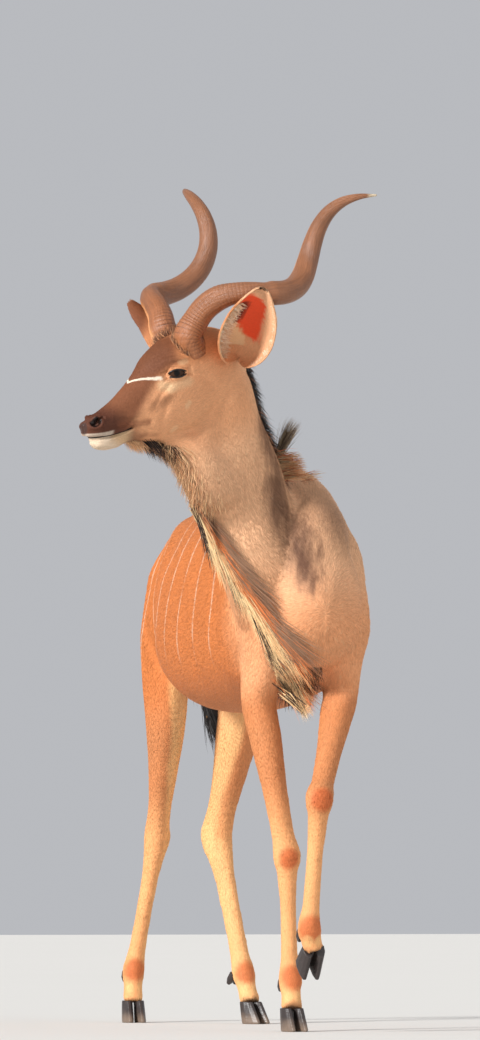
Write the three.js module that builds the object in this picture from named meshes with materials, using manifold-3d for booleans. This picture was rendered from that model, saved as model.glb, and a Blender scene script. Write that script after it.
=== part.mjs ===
// A greater kudu bull, standing with the left forefoot lifted and the head turned to its right.
// Millimetres. +X is the animal's left, -Y the way its body faces, +Z up, with the floor at Z = 0.

import * as THREE from "three";
import { mergeVertices } from "three/addons/utils/BufferGeometryUtils.js";
import Module from "manifold-3d";

const wasm = await Module();
wasm.setup();

// Driving dimensions
const WITHERS = 1365; // height of the back over the shoulders
const STERNUM = 792; // height of the underside of the chest
const BELLY_HALF_WIDTH = 212;
const CHEST_HALF_WIDTH = 168;
const RUMP = 1085; // how far the rump lies behind the shoulders
const HEAD_LENGTH = 427;
const GAP = 0.3; // between touching nodes

// The turned head: where its poll is, its heading from the body's, and how far the nose dips
const POLL = new THREE.Vector3(-252, -215, 1599);
const HEAD_TURN = THREE.MathUtils.degToRad(74.4);
const NOSE_DIP = THREE.MathUtils.degToRad(24.8);
const HEAD_ROLL = THREE.MathUtils.degToRad(5); // left side down

// Materials
const finish = (color, roughness, metalness = 0) =>
  new THREE.MeshStandardMaterial({ color, roughness, metalness });
const COAT = finish(0xb98560, 0.85);
const HORN = finish(0x5b463a, 0.5);
const HOOF = finish(0x1c1815, 0.45);
const EYE = finish(0x120c08, 0.08);

// Small helpers
const vec = (x, y, z) => new THREE.Vector3(x, y, z);
const mix = (a, b, t) => a.clone().lerp(b, t);
const power = (c, p) => Math.sign(c) * Math.abs(c) ** p;
let seed = 7;
// A repeatable draw between low and high
function draw(low, high) {
  seed = (seed * 16807) % 2147483647;
  return low + ((high - low) * seed) / 2147483647;
}

// A closed body from rings of points, all rings with the same number of points
function skinned(rings) {
  const sides = rings[0].length;
  const last = rings.length - 1;
  const points = rings.flat();
  const middle = (ring) =>
    ring.reduce((sum, p) => sum.add(p), vec(0, 0, 0)).divideScalar(ring.length);
  points.push(middle(rings[0]), middle(rings[last]));
  const start = points.length - 2;
  const end = points.length - 1;
  const index = [];
  for (let k = 0; k < sides; k++) {
    const next = (k + 1) % sides;
    index.push(start, next, k);
    index.push(end, last * sides + k, last * sides + next);
    for (let i = 0; i < last; i++) {
      const a = i * sides;
      const b = a + sides;
      index.push(a + k, a + next, b + next, a + k, b + next, b + k);
    }
  }
  const geometry = new THREE.BufferGeometry().setFromPoints(points);
  geometry.setIndex(index);
  return geometry;
}

// A body lofted through stations. Each gives its centre, its half sizes to the side, over and
// under the centre, and may give its own over direction, squareness and taper of the section.
// A relief raises the skin by a share of its radius.
class Loft {
  constructor(stations, { sides = 16, steps = 2, over = vec(0, 0, 1), grow = 0, relief } = {}) {
    Object.assign(this, { stations, sides, steps, over, grow, relief });
    const curve = (points) => new THREE.CatmullRomCurve3(points, false, "centripetal");
    this.path = curve(stations.map((s) => s.at));
    this.sizes = curve(stations.map((s) => vec(s.side, s.fore, s.aft)));
  }

  // The section's frame and sizes at t, from 0 to 1 along the stations
  frame(t) {
    const place = t * (this.stations.length - 1);
    const i = Math.min(Math.floor(place), this.stations.length - 2);
    const [a, b] = [this.stations[i], this.stations[i + 1]];
    const w = place - i;
    const blend = (key, plain) => (a[key] ?? plain) * (1 - w) + (b[key] ?? plain) * w;
    const tangent = this.path.getTangent(t);
    const over = mix(a.over ?? this.over, b.over ?? this.over, w);
    const side = over.clone().cross(tangent).normalize();
    const size = this.sizes.getPoint(t).addScalar(this.grow);
    return {
      centre: this.path.getPoint(t),
      side,
      over: tangent.cross(side).normalize(),
      size,
      square: blend("square", 2),
      taper: blend("taper", 0),
    };
  }

  // A point on the skin, where angle 0 is the side and a quarter turn is over the centre
  point(t, angle) {
    const f = this.frame(t);
    const c = power(Math.cos(angle), 2 / f.square);
    const s = power(Math.sin(angle), 2 / f.square);
    const raised = 1 + (this.relief?.(t, angle) ?? 0);
    const across = raised * c * f.size.x * (1 + f.taper * Math.sin(angle));
    const along = raised * s * (s > 0 ? f.size.y : f.size.z);
    return f.centre.addScaledVector(f.side, across).addScaledVector(f.over, along);
  }

  geometry() {
    const count = (this.stations.length - 1) * this.steps;
    const rings = [];
    for (let i = 0; i <= count; i++) {
      const ring = [];
      for (let k = 0; k < this.sides; k++)
        ring.push(this.point(i / count, (2 * Math.PI * k) / this.sides));
      rings.push(ring);
    }
    const ends = [0, 1].map((t) => this.path.getTangent(t).multiplyScalar(this.grow));
    rings[0].forEach((p) => p.sub(ends[0]));
    rings[count].forEach((p) => p.add(ends[1]));
    return skinned(rings);
  }

  grown(by, changes = {}) {
    return new Loft(this.stations, { ...this, grow: this.grow + by, ...changes });
  }
}

// Solids
function solid(geometry) {
  const plain = new THREE.BufferGeometry();
  plain.setAttribute("position", geometry.getAttribute("position"));
  plain.setIndex(geometry.index);
  const merged = mergeVertices(plain, 1e-3);
  const made = new wasm.Manifold(
    new wasm.Mesh({
      numProp: 3,
      vertProperties: merged.attributes.position.array,
      triVerts: new Uint32Array(merged.index.array),
    }),
  );
  return made.volume() < 0 ? solid(turnedOut(merged)) : made;
}

function turnedOut(geometry) {
  const index = geometry.index.array;
  for (let i = 0; i < index.length; i += 3)
    [index[i + 1], index[i + 2]] = [index[i + 2], index[i + 1]];
  return geometry;
}

const lofted = (loft) => solid(loft.geometry());
const joined = (first, ...rest) => rest.reduce((all, s) => all.add(s), first);
const cut = (body, ...tools) => tools.reduce((left, tool) => left.subtract(tool), body);

// An ellipsoid with its half sizes along the axes of a matrix
function ball(radii, matrix, detail = 12, grow = 0) {
  const geometry = new THREE.SphereGeometry(1, detail, Math.round(detail / 2));
  geometry.scale(radii.x + grow, radii.y + grow, radii.z + grow).applyMatrix4(matrix);
  return solid(geometry);
}

const group = new THREE.Group();

// The node's largest closed surface becomes its mesh
function addNode(name, body, material) {
  const largest = body.decompose().sort((a, b) => b.volume() - a.volume())[0];
  const { numProp, vertProperties, triVerts } = largest.getMesh();
  const points = new Float32Array((vertProperties.length / numProp) * 3);
  for (let i = 0; i < points.length / 3; i++)
    points.set(vertProperties.subarray(i * numProp, i * numProp + 3), i * 3);
  const geometry = new THREE.BufferGeometry();
  geometry.setAttribute("position", new THREE.BufferAttribute(points, 3));
  geometry.setIndex(new THREE.BufferAttribute(triVerts, 1));
  geometry.computeVertexNormals();
  const mesh = new THREE.Mesh(geometry, material);
  mesh.name = name;
  group.add(mesh);
}

// A flat lock of hair that tapers and bends through the points of a path, flat to the body
const LOCK_SIDES = [
  [1, 0],
  [0, 1],
  [-1, 0],
  [0, -1],
];
function lock({ path, width, thickness = 4, outward, steps = 4 }, grow = 0) {
  const curve = new THREE.CatmullRomCurve3(path);
  const rings = [];
  for (let i = 0; i <= steps; i++) {
    const t = i / steps;
    const tangent = curve.getTangent(t);
    const across = outward.clone().cross(tangent).normalize();
    const out = tangent.cross(across);
    const half = Math.max(0.5 * width * Math.sin(Math.PI * (0.25 + 0.73 * t)), 0.8) + grow;
    const deep = Math.max(0.5 * thickness * (1.3 - t), 0.5) + grow;
    const centre = curve.getPoint(t);
    rings.push(
      LOCK_SIDES.map(([x, y]) =>
        centre.clone().addScaledVector(across, x * half).addScaledVector(out, y * deep),
      ),
    );
  }
  return solid(skinned(rings));
}
const locks = (list, grow = 0) => joined(...list.map((one) => lock(one, grow)));

// Torso
const torsoStations = [
  { at: vec(0, -218, 985), side: 32, fore: 48, aft: 52 },
  { at: vec(0, -202, 990), side: 74, fore: 98, aft: 106 },
  { at: vec(0, -160, 1000), side: 116, fore: 150, aft: 150 },
  { at: vec(0, -80, 1025), side: 150, fore: 250, aft: 210 },
  { at: vec(0, 50, 1040), side: CHEST_HALF_WIDTH, fore: WITHERS - 1040, aft: 1040 - STERNUM },
  { at: vec(0, 220, 1025), side: 190, fore: 318, aft: 250 },
  { at: vec(0, 430, 1015), side: 207, fore: 303, aft: 250 },
  { at: vec(0, 620, 1015), side: BELLY_HALF_WIDTH, fore: 300, aft: 238 },
  { at: vec(0, 800, 1045), side: 178, fore: 268, aft: 190 },
  { at: vec(0, 940, 1085), side: 140, fore: 212, aft: 160 },
  { at: vec(0, 1040, 1110), side: 92, fore: 150, aft: 130 },
  { at: vec(0, RUMP, 1120), side: 44, fore: 88, aft: 82 },
  { at: vec(0, RUMP + 14, 1122), side: 14, fore: 34, aft: 32 },
].map((s) => ({ square: 2.1, taper: -0.14, ...s }));
const torso = new Loft(torsoStations, { sides: 20, steps: 2 });

// Neck: bends to the right and twists, so that its mane line turns from the back to the left
const neckStations = [
  { at: vec(-25, 15, 985), side: 105, fore: 150, aft: 150, over: vec(0.25, 0.8, 0.55) },
  { at: vec(-98, -62, 1110), side: 108, fore: 150, aft: 138, over: vec(0.6, 0.65, 0.45) },
  { at: vec(-150, -98, 1220), side: 96, fore: 128, aft: 122, over: vec(0.85, 0.42, 0.3) },
  { at: vec(-190, -130, 1325), side: 84, fore: 116, aft: 116, over: vec(0.92, 0.3, 0.25) },
  { at: vec(-232, -178, 1440), side: 74, fore: 94, aft: 104, over: vec(0.92, 0.3, 0.25) },
  { at: vec(-256, -214, 1530), side: 62, fore: 80, aft: 84, over: vec(0.9, 0.3, 0.36) },
  { at: vec(-276, -226, 1590), side: 44, fore: 56, aft: 60, over: vec(0.85, 0.28, 0.45) },
];
const neck = new Loft(neckStations, { sides: 18, steps: 2 });

// Head: x runs forwards from the poll, y to the head's left and z up
const headTurn = new THREE.Matrix4()
  .makeRotationZ(-Math.PI / 2 - HEAD_TURN)
  .multiply(new THREE.Matrix4().makeRotationY(NOSE_DIP))
  .multiply(new THREE.Matrix4().makeRotationX(-HEAD_ROLL));
const inHead = (x, y, z) => vec(x, y, z).applyMatrix4(headTurn).add(POLL);
const headWay = (x, y, z) => vec(x, y, z).applyMatrix4(headTurn).normalize();
const OVER_HEAD = headWay(0, 0, 1);

const headProfile = [
  { back: -36, top: 42, bottom: -34, side: 30, taper: 0.1 },
  { back: -22, top: 66, bottom: -64, side: 52, taper: 0.1 },
  { back: 20, top: 92, bottom: -94, side: 68, taper: 0.12 },
  { back: 75, top: 106, bottom: -110, side: 74, taper: 0.14 },
  { back: 125, top: 106, bottom: -121, side: 73, taper: 0.14 },
  { back: 175, top: 92, bottom: -126, side: 68, taper: 0.1 },
  { back: 215, top: 74, bottom: -121, side: 57, taper: 0 },
  { back: 255, top: 56, bottom: -108, side: 49, taper: -0.06 },
  { back: 300, top: 39, bottom: -88, side: 42, taper: -0.08 },
  { back: 340, top: 25, bottom: -66, side: 38, taper: -0.06 },
  { back: 370, top: 18, bottom: -54, side: 37, taper: 0 },
  { back: 395, top: 16, bottom: -46, side: 36, taper: 0.05 },
  { back: 412, top: 10, bottom: -40, side: 31, taper: 0.05 },
  { back: 423, top: -1, bottom: -33, side: 20, taper: 0 },
  { back: HEAD_LENGTH, top: -9, bottom: -25, side: 9, taper: 0 },
];
const headLoft = new Loft(
  headProfile.map((s) => {
    const height = (s.top - s.bottom) / 2;
    return {
      at: inHead(s.back, 0, (s.top + s.bottom) / 2),
      side: s.side,
      fore: height,
      aft: height,
      square: 2.35,
      taper: s.taper,
    };
  }),
  { sides: 20, steps: 1, over: OVER_HEAD },
);

// Lower jaw with the lower lip and the chin
const jawLoft = new Loft(
  [
    { at: inHead(180, 0, -98), side: 40, fore: 30, aft: 28 },
    { at: inHead(250, 0, -84), side: 35, fore: 28, aft: 28 },
    { at: inHead(300, 0, -70), side: 29, fore: 24, aft: 21 },
    { at: inHead(328, 0, -62), side: 28, fore: 26, aft: 15 },
    { at: inHead(355, 0, -57), side: 30, fore: 26, aft: 21 },
    { at: inHead(385, 0, -53), side: 29, fore: 22, aft: 18 },
    { at: inHead(406, 0, -48), side: 21, fore: 14, aft: 13 },
    { at: inHead(416, 0, -44), side: 10, fore: 6, aft: 6 },
  ],
  { sides: 12, steps: 1, over: OVER_HEAD },
);

// Axes for a form on the head: its own z points out of the head along the given way
function headAxes(at, out, tilt = 0) {
  const z = headWay(out.x, out.y, out.z);
  const y = OVER_HEAD.clone().addScaledVector(z, -OVER_HEAD.dot(z)).normalize();
  const turned = new THREE.Matrix4().makeBasis(y.clone().cross(z), y, z);
  return turned.multiply(new THREE.Matrix4().makeRotationZ(tilt)).setPosition(inHead(...at));
}

// Eyes and lids: the lids are a dome round the eyeball with an almond opening
const EYE_RADIUS = 25;
const LID = 4;
const eyeAt = (side) => [165, side * 46, 32];
const eyeOut = (side) => vec(0.38, side * 0.92, 0.08);
const eyeball = (side, grow = 0) => {
  const radii = vec(EYE_RADIUS, EYE_RADIUS, EYE_RADIUS);
  return ball(radii, headAxes(eyeAt(side), eyeOut(side)), 12, grow);
};
const lids = (side) => {
  const size = EYE_RADIUS + LID;
  return ball(vec(size + 13, size + 3, size), headAxes(eyeAt(side), eyeOut(side)), 14);
};
function lidOpening(side) {
  const ahead = side;
  const shape = new THREE.Shape();
  shape.moveTo(ahead * 28, -8);
  shape.quadraticCurveTo(ahead * 4, 20, ahead * -25, 3);
  shape.quadraticCurveTo(ahead * 2, -19, ahead * 28, -8);
  const geometry = new THREE.ExtrudeGeometry(shape, {
    depth: 40,
    bevelEnabled: false,
    curveSegments: 5,
  });
  geometry.translate(0, 0, 8);
  return solid(geometry.applyMatrix4(headAxes(eyeAt(side), eyeOut(side))));
}

// Brow ridge over each eye, the round wing of each nostril and the muscle of each cheek
function faceForms(side, grow = 0) {
  const brow = headAxes([160, side * 50, 59], vec(0.2, side * 0.85, 0.5), -side * 0.2);
  const nostrilWing = headAxes([385, side * 23, 0], vec(0.35, side * 0.9, 0.25), -side * 0.5);
  const cheek = headAxes([160, side * 46, -56], vec(0.1, side * 0.97, -0.15));
  return [
    ball(vec(46, 14, 17), brow, 10, grow),
    ball(vec(22, 15, 12), nostrilWing, 8, grow),
    ball(vec(62, 44, 15), cheek, 8, grow),
  ];
}

// A nostril is a comma: a round pit with a slit that runs up and back
const nostrils = (side) => [
  ball(vec(9, 7, 11), headAxes([394, side * 33, -7], vec(0.6, side * 0.8, 0)), 8),
  ball(vec(15, 4, 9), headAxes([384, side * 35, 0], vec(0.3, side * 0.95, 0), -side * 0.55), 8),
];

// Line of the mouth: a thin slot round the muzzle, as deep as the lips
function mouthSlot() {
  const line = [
    [318, -48],
    [345, -49],
    [375, -45],
    [402, -40],
    [445, -34],
  ];
  const stations = line.map(([x, z]) => {
    return { at: inHead(x, 0, z), side: 60, fore: 1.8, aft: 1.8, square: 6 };
  });
  const slab = lofted(new Loft(stations, { sides: 8, steps: 2, over: OVER_HEAD }));
  const core = { sides: 10, steps: 1 };
  return cut(slab, lofted(headLoft.grown(-9, core)), lofted(jawLoft.grown(-7, core)));
}

// Horns: a tapering helix round a straight axis, rising from the brow, with a keel that winds
// along its outer side. The two aren't quite alike.
const HORN_AXIS_LENGTH = 550;
const HORN_BASE_RADIUS = 30;
const HORN_ROOT = vec(110, 80, 101);
function hornAxis(side) {
  const away = 2.718 + side * 0.157;
  const lift = 0.292 - side * 0.0585;
  return vec(Math.cos(lift) * Math.cos(away), Math.cos(lift) * Math.sin(away), Math.sin(lift));
}
function hornPath(side) {
  const start = 3.271 - side * 0.217;
  const turns = 1.535 + side * 0.027;
  const axis = hornAxis(side);
  const acrossAxis = vec(0, 0, 1).cross(axis).normalize();
  const overAxis = axis.clone().cross(acrossAxis);
  const points = [];
  const count = 16;
  for (let i = 0; i <= count; i++) {
    const t = i / count;
    const angle = start + 2 * Math.PI * (turns - 0.151 * t) * t;
    const radius = -(29.7 + 53.8 * t - 31.4 * t * t);
    const p = HORN_ROOT.clone()
      .addScaledVector(axis, HORN_AXIS_LENGTH * t)
      .addScaledVector(acrossAxis, radius * Math.cos(angle))
      .addScaledVector(overAxis, radius * Math.sin(angle));
    points.push(inHead(p.x, side * p.y, p.z));
  }
  return points;
}
function hornLoft(side) {
  const path = hornPath(side);
  const root = path[0].clone().addScaledVector(mix(path[1], path[0], 2).sub(path[0]), 0.6);
  const stations = [root, ...path].map((at, i, all) => {
    const t = i / (all.length - 1);
    const radius = Math.max(HORN_BASE_RADIUS * (1 - t ** 3) ** 0.8, 2.5);
    return { at, side: radius, fore: radius * 1.08, aft: radius * 0.98 };
  });
  const over = headWay(0.12, side * -0.46, 0.88); // well off the horn's own way all along
  const keel = (t, angle) => 0.16 * Math.max(Math.cos(angle - side * 2 * t), 0) ** 6 * (1 - t);
  return new Loft(stations, { sides: 12, steps: 1, over, relief: keel });
}

// A closed body from two like grids of points, one for each face
function sheet(front, back) {
  const rows = front.length;
  const columns = front[0].length;
  const points = [...front.flat(), ...back.flat()];
  const at = (face, i, k) => face * rows * columns + i * columns + k;
  const index = [];
  const quad = (a, b, c, d) => index.push(a, b, c, a, c, d);
  for (let i = 0; i + 1 < rows; i++) {
    for (let k = 0; k + 1 < columns; k++) {
      quad(at(0, i, k), at(0, i, k + 1), at(0, i + 1, k + 1), at(0, i + 1, k));
      index.push(at(1, i, k), at(1, i + 1, k + 1), at(1, i, k + 1));
      index.push(at(1, i, k), at(1, i + 1, k), at(1, i + 1, k + 1));
    }
    quad(at(0, i, 0), at(0, i + 1, 0), at(1, i + 1, 0), at(1, i, 0));
    quad(at(0, i + 1, columns - 1), at(0, i, columns - 1), at(1, i, columns - 1), at(1, i + 1, columns - 1));
  }
  for (let k = 0; k + 1 < columns; k++) {
    quad(at(0, 0, k + 1), at(0, 0, k), at(1, 0, k), at(1, 0, k + 1));
    quad(at(0, rows - 1, k), at(0, rows - 1, k + 1), at(1, rows - 1, k + 1), at(1, rows - 1, k));
  }
  const geometry = new THREE.BufferGeometry().setFromPoints(points);
  geometry.setIndex(index);
  return geometry;
}

// Ears: a deep cup, rolled to a tube at the root and opening to a broad blunt leaf
const EAR_LENGTH = 228;
const EAR_HALF_WIDTH = 66;
const EAR_THICKNESS = 5;
const ears = {
  left: { root: [6, 66, 2], along: [-36, 144, 157], facing: [0.66, 0.66, -0.3] },
  right: { root: [6, -66, 0], along: [68, -150, 194], facing: [0.74, -0.42, -0.52] },
};
function ear({ root, along, facing }) {
  const start = inHead(...root);
  const way = headWay(...along);
  const across = way.clone().cross(headWay(...facing)).normalize();
  const open = across.clone().cross(way).normalize();
  const rows = 10;
  const columns = 8;
  const face = (depth) => {
    const grid = [];
    for (let i = 0; i <= rows; i++) {
      const t = i / rows;
      const leaf = Math.sin(Math.PI * (0.04 + 0.9 * t)) ** 0.75;
      const half = 15 + (EAR_HALF_WIDTH - 15) * leaf - 11 * t ** 5;
      const curl = 2.5 - 1.2 * Math.min(t * 1.4, 1) ** 0.8;
      const bend = Math.min(curl, Math.PI / 2);
      const radius = half / Math.sin(bend);
      const row = [];
      for (let k = 0; k <= columns; k++) {
        const v = ((2 * k) / columns - 1) * curl;
        row.push(
          start
            .clone()
            .addScaledVector(way, EAR_LENGTH * t)
            .addScaledVector(across, (radius - depth) * Math.sin(v))
            .addScaledVector(open, radius - 15 - (radius - depth) * Math.cos(v) + 14 * t * t),
        );
      }
      grid.push(row);
    }
    return grid;
  };
  return solid(sheet(face(0), face(EAR_THICKNESS)));
}

// Legs
const FORE = vec(0, -1, 0);
const legStations = (rows) =>
  rows.map(([at, side, fore, aft]) => ({ at, side, fore, aft, square: 2.1 }));

function foreleg(side, { shoulder, elbow, knee, fetlock, coronet }) {
  const blade = vec(side * 62, 55, 1270);
  const rows = [
    [blade, 26, 55, 60],
    [mix(blade, shoulder, 0.42).add(vec(side * 24, 0, 0)), 44, 98, 86],
    [mix(blade, shoulder, 0.78).add(vec(side * 16, 0, 0)), 52, 112, 92],
    [shoulder, 54, 108, 88],
    [mix(shoulder, elbow, 0.55), 46, 80, 76],
    [elbow, 40, 50, 62],
    [mix(elbow, knee, 0.22), 38, 44, 45],
    [mix(elbow, knee, 0.58), 29, 32, 31],
    [mix(elbow, knee, 0.86), 27, 27, 26],
    [knee, 35, 32, 28],
    [mix(knee, fetlock, 0.14), 24, 23, 26],
    [mix(knee, fetlock, 0.45), 17.5, 18, 24],
    [mix(knee, fetlock, 0.82), 19.5, 19, 26],
    [fetlock, 29, 27, 31],
    [mix(fetlock, coronet, 0.5), 23, 22, 23],
    [coronet, 27, 27, 25],
  ];
  return new Loft(legStations(rows), { sides: 12, steps: 2, over: FORE });
}

function hindleg(side, { hip, stifle, hock, fetlock, coronet, toes = FORE }) {
  const back = vec(0, 1, 0);
  const shank = mix(stifle, hock, 0.5);
  const rows = [
    [hip.clone().add(vec(-side * 24, 0, 70)), 34, 95, 85],
    [hip, 52, 140, 120],
    [mix(hip, stifle, 0.45).addScaledVector(back, 22), 60, 140, 130],
    [mix(hip, stifle, 0.85).addScaledVector(back, 38), 58, 110, 112],
    [mix(stifle, hock, 0.2).addScaledVector(back, 16), 50, 76, 82],
    [shank, 38, 47, 52],
    [mix(stifle, hock, 0.8), 27, 32, 46],
    [mix(stifle, hock, 0.92), 27, 33, 52],
    [hock, 32, 37, 52],
    [mix(hock, fetlock, 0.14), 25, 30, 40],
    [mix(hock, fetlock, 0.3), 19, 23, 33],
    [mix(hock, fetlock, 0.6), 17.5, 21, 30],
    [mix(hock, fetlock, 0.85), 20, 21, 29],
    [fetlock, 28, 28, 32],
    [mix(fetlock, coronet, 0.5), 23, 22, 23],
    [coronet, 27, 27, 25],
  ];
  const stations = legStations(rows);
  stations.slice(5).forEach((s) => (s.over = toes));
  return new Loft(stations, { sides: 12, steps: 2, over: FORE });
}

// One toe of a cloven hoof in the foot's own frame: sole at z = 0, toes towards -y
const HOOF_HEIGHT = 56;
function toe(side, frame, grow = 0) {
  const rows = [
    { at: vec(side * 15, 0, HOOF_HEIGHT), side: 13, fore: 20, aft: 22 },
    { at: vec(side * 15.5, -8, HOOF_HEIGHT * 0.5), side: 14, fore: 30, aft: 26 },
    { at: vec(side * 16, -15, 4), side: 14.6, fore: 38, aft: 27 },
    { at: vec(side * 16, -15, 0), side: 13.6, fore: 36, aft: 26 },
  ];
  const rings = rows.map((row) => {
    const ring = [];
    const sides = 10;
    for (let k = 0; k < sides; k++) {
      const angle = (2 * Math.PI * k) / sides;
      const s = Math.sin(angle);
      const across = (row.side + grow) * Math.cos(angle) * (1 - 0.28 * s);
      const along = -((s > 0 ? row.fore : row.aft) + grow) * s;
      const lift = row.at.z === HOOF_HEIGHT ? grow : 0;
      ring.push(vec(row.at.x + across, row.at.y + along, row.at.z + lift).applyMatrix4(frame));
    }
    return ring;
  });
  return solid(skinned(rings));
}

// A foot's frame: where its sole is, which way it points and how far the toes dip
function footFrame(at, turn = 0, dip = 0) {
  return new THREE.Matrix4()
    .makeRotationZ(turn)
    .multiply(new THREE.Matrix4().makeRotationX(dip))
    .setPosition(at);
}

const DEG = Math.PI / 180;
const feet = {
  fore_right: footFrame(vec(-22, -16, 0), 6 * DEG),
  fore_left: footFrame(vec(-24, -146, 169), 4 * DEG, 62 * DEG),
  hind_right: footFrame(vec(-114, 1108, 0), -4 * DEG),
  hind_left: footFrame(vec(130, 866, 0), 24 * DEG),
};
const inFoot = (name, x, y, z) => vec(x, y, z).applyMatrix4(feet[name]);

const joints = {
  fore_right: {
    shoulder: vec(-96, -28, 965),
    elbow: vec(-96, 12, 785),
    knee: vec(-30, 4, 420),
    fetlock: vec(-18, 14, 122),
    coronet: inFoot("fore_right", 0, 4, 52),
  },
  fore_left: {
    shoulder: vec(93, -44, 975),
    elbow: vec(92, -42, 806),
    knee: vec(-26, -258, 556),
    fetlock: vec(-36, -206, 243),
    coronet: inFoot("fore_left", 0, 4, 52),
  },
  hind_right: {
    hip: vec(-80, 900, 1130),
    stifle: vec(-92, 838, 850),
    hock: vec(-66, 1048, 475),
    fetlock: vec(-108, 1128, 130),
    coronet: inFoot("hind_right", 0, 4, 52),
  },
  hind_left: {
    hip: vec(80, 900, 1130),
    stifle: vec(98, 800, 850),
    hock: vec(78, 985, 470),
    fetlock: vec(122, 902, 126),
    coronet: inFoot("hind_left", 0, 4, 52),
    toes: vec(0.6, -0.8, 0),
  },
};
const legs = {
  fore_right: foreleg(-1, joints.fore_right),
  fore_left: foreleg(1, joints.fore_left),
  hind_right: hindleg(-1, joints.hind_right),
  hind_left: hindleg(1, joints.hind_left),
};

// Tail
const tailPath = [
  vec(0, 1050, 1215),
  vec(8, 1105, 1185),
  vec(32, 1142, 1080),
  vec(66, 1150, 950),
  vec(92, 1152, 850),
  vec(106, 1150, 780),
];
const tailRadii = [34, 28, 21, 18, 15, 8];
const tailLoft = new Loft(
  tailPath.map((at, i) => {
    const radius = tailRadii[i];
    return { at, side: radius, fore: radius * 0.8, aft: radius * 0.8 };
  }),
  { sides: 10, steps: 2, over: vec(0, 1, 0.3) },
);

// Bare body skin that the chest and throat hair is laid on, looked up from the front
const skin = [torso, neck, legs.fore_right].map((loft) => {
  return new THREE.Mesh(loft.geometry(), new THREE.MeshBasicMaterial({ side: THREE.DoubleSide }));
});
function laid(x, z, lift) {
  const ray = new THREE.Raycaster(vec(x, -1000, z), vec(0, 1, 0));
  const hit = ray.intersectObjects(skin)[0];
  const out = hit.face.normal.clone();
  if (out.y > 0) out.negate();
  return hit.point.addScaledVector(out.add(vec(0, -1, 0)).normalize(), lift);
}

// A point over or under the neck's skin, where t is 0 at the chest and 1 in the head
function onNeck(t, angle, lift) {
  const at = neck.point(t, angle);
  const out = at.clone().sub(neck.frame(t).centre).normalize();
  return { at: at.addScaledVector(out, lift), out };
}

// Mane down the back of the neck, each lock lying down and back over the next
const MANE_LOCKS = 14;
const mane = Array.from({ length: MANE_LOCKS }, (_, i) => {
  const t = 0.92 - (0.58 * (i + draw(0, 0.4))) / MANE_LOCKS;
  const angle = Math.PI / 2 + (i % 2 ? 0.16 : -0.16) + draw(-0.08, 0.08);
  const reach = draw(0.1, 0.13);
  const rise = draw(18, 30);
  const path = [
    onNeck(t, angle, -12).at,
    onNeck(t - reach * 0.5, angle, rise * 0.6).at,
    onNeck(t - reach, angle + draw(-0.1, 0.1), rise).at,
  ];
  return { path, width: draw(34, 44), outward: onNeck(t, angle, 0).out, steps: 3 };
});

// Throat hair: hanging under the jaw, longer down the neck, where it blows to the animal's left
const THROAT_LOCKS = 10;
const throat = Array.from({ length: THROAT_LOCKS }, (_, i) => {
  const share = i / (THROAT_LOCKS - 1);
  const t = 0.87 - 0.45 * share;
  const angle = -Math.PI / 2 + draw(-0.12, 0.16);
  const reach = 0.12 + 0.14 * share;
  const sweep = 0.1 + 0.7 * share;
  const hang = 48 - 30 * share;
  const path = [
    onNeck(t, angle, -12).at,
    onNeck(t - reach * 0.5, angle + sweep * 0.4, hang * 0.7).at,
    onNeck(t - reach, angle + sweep, hang + draw(0, 6)).at,
  ];
  const outward = onNeck(t, angle + sweep * 0.5, 0).out;
  return { path, width: draw(36, 48), outward, steps: 3 };
});

// Fringe from the throat down to the brisket, sweeping across the chest
function fringe(count, from, to, lift) {
  return Array.from({ length: count }, (_, i) => {
    const share = (i + draw(-0.2, 0.2)) / (count - 1);
    const x = from.x + (to.x - from.x) * share;
    const z = from.z + (to.z - from.z) * share;
    const sweep = draw(0.9, 1.15) * (from.sweep + (to.sweep - from.sweep) * share);
    const drop = draw(0.9, 1.15) * (from.drop + (to.drop - from.drop) * share);
    const path = [0, 0.35, 0.7, 1].map((k, n) => {
      return laid(x + sweep * k, z - drop * k ** 1.2, [-12, lift, lift, lift + 4][n]);
    });
    return { path, width: draw(34, 46), thickness: 5, outward: vec(-0.2, -1, 0) };
  });
}
const neckFringe = fringe(
  8,
  { x: -232, z: 1190, sweep: 80, drop: 120 },
  { x: -150, z: 985, sweep: 160, drop: 130 },
  32,
);
const chestFringe = fringe(
  5,
  { x: -116, z: 968, sweep: 124, drop: 138 },
  { x: -56, z: 856, sweep: 72, drop: 50 },
  15,
);

// Withers: an upright tuft and shorter locks blown to the left
const upright = Array.from({ length: 4 }, (_, i) => {
  const root = vec(-32 + 5 * i, draw(-26, -10), 1315);
  const tip = root.clone().add(vec(4 + 5 * i, draw(-8, 12), 152 - 14 * Math.abs(i - 1)));
  const bend = mix(root, tip, 0.5).add(vec(-8, 0, 6));
  return { path: [root, bend, tip], width: draw(24, 30), outward: vec(-0.3, -1, 0), steps: 3 };
});
const blown = Array.from({ length: 5 }, (_, i) => {
  const root = vec(draw(-14, 0), -50 + i * 24, 1320 + i * 6);
  const tip = root.clone().add(vec(draw(70, 92), draw(-6, 10), 14 - 16 * i));
  const bend = mix(root, tip, 0.45).add(vec(0, -8, 28));
  return { path: [root, bend, tip], width: draw(30, 38), outward: vec(0.1, -1, 0.3), steps: 3 };
});

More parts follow.
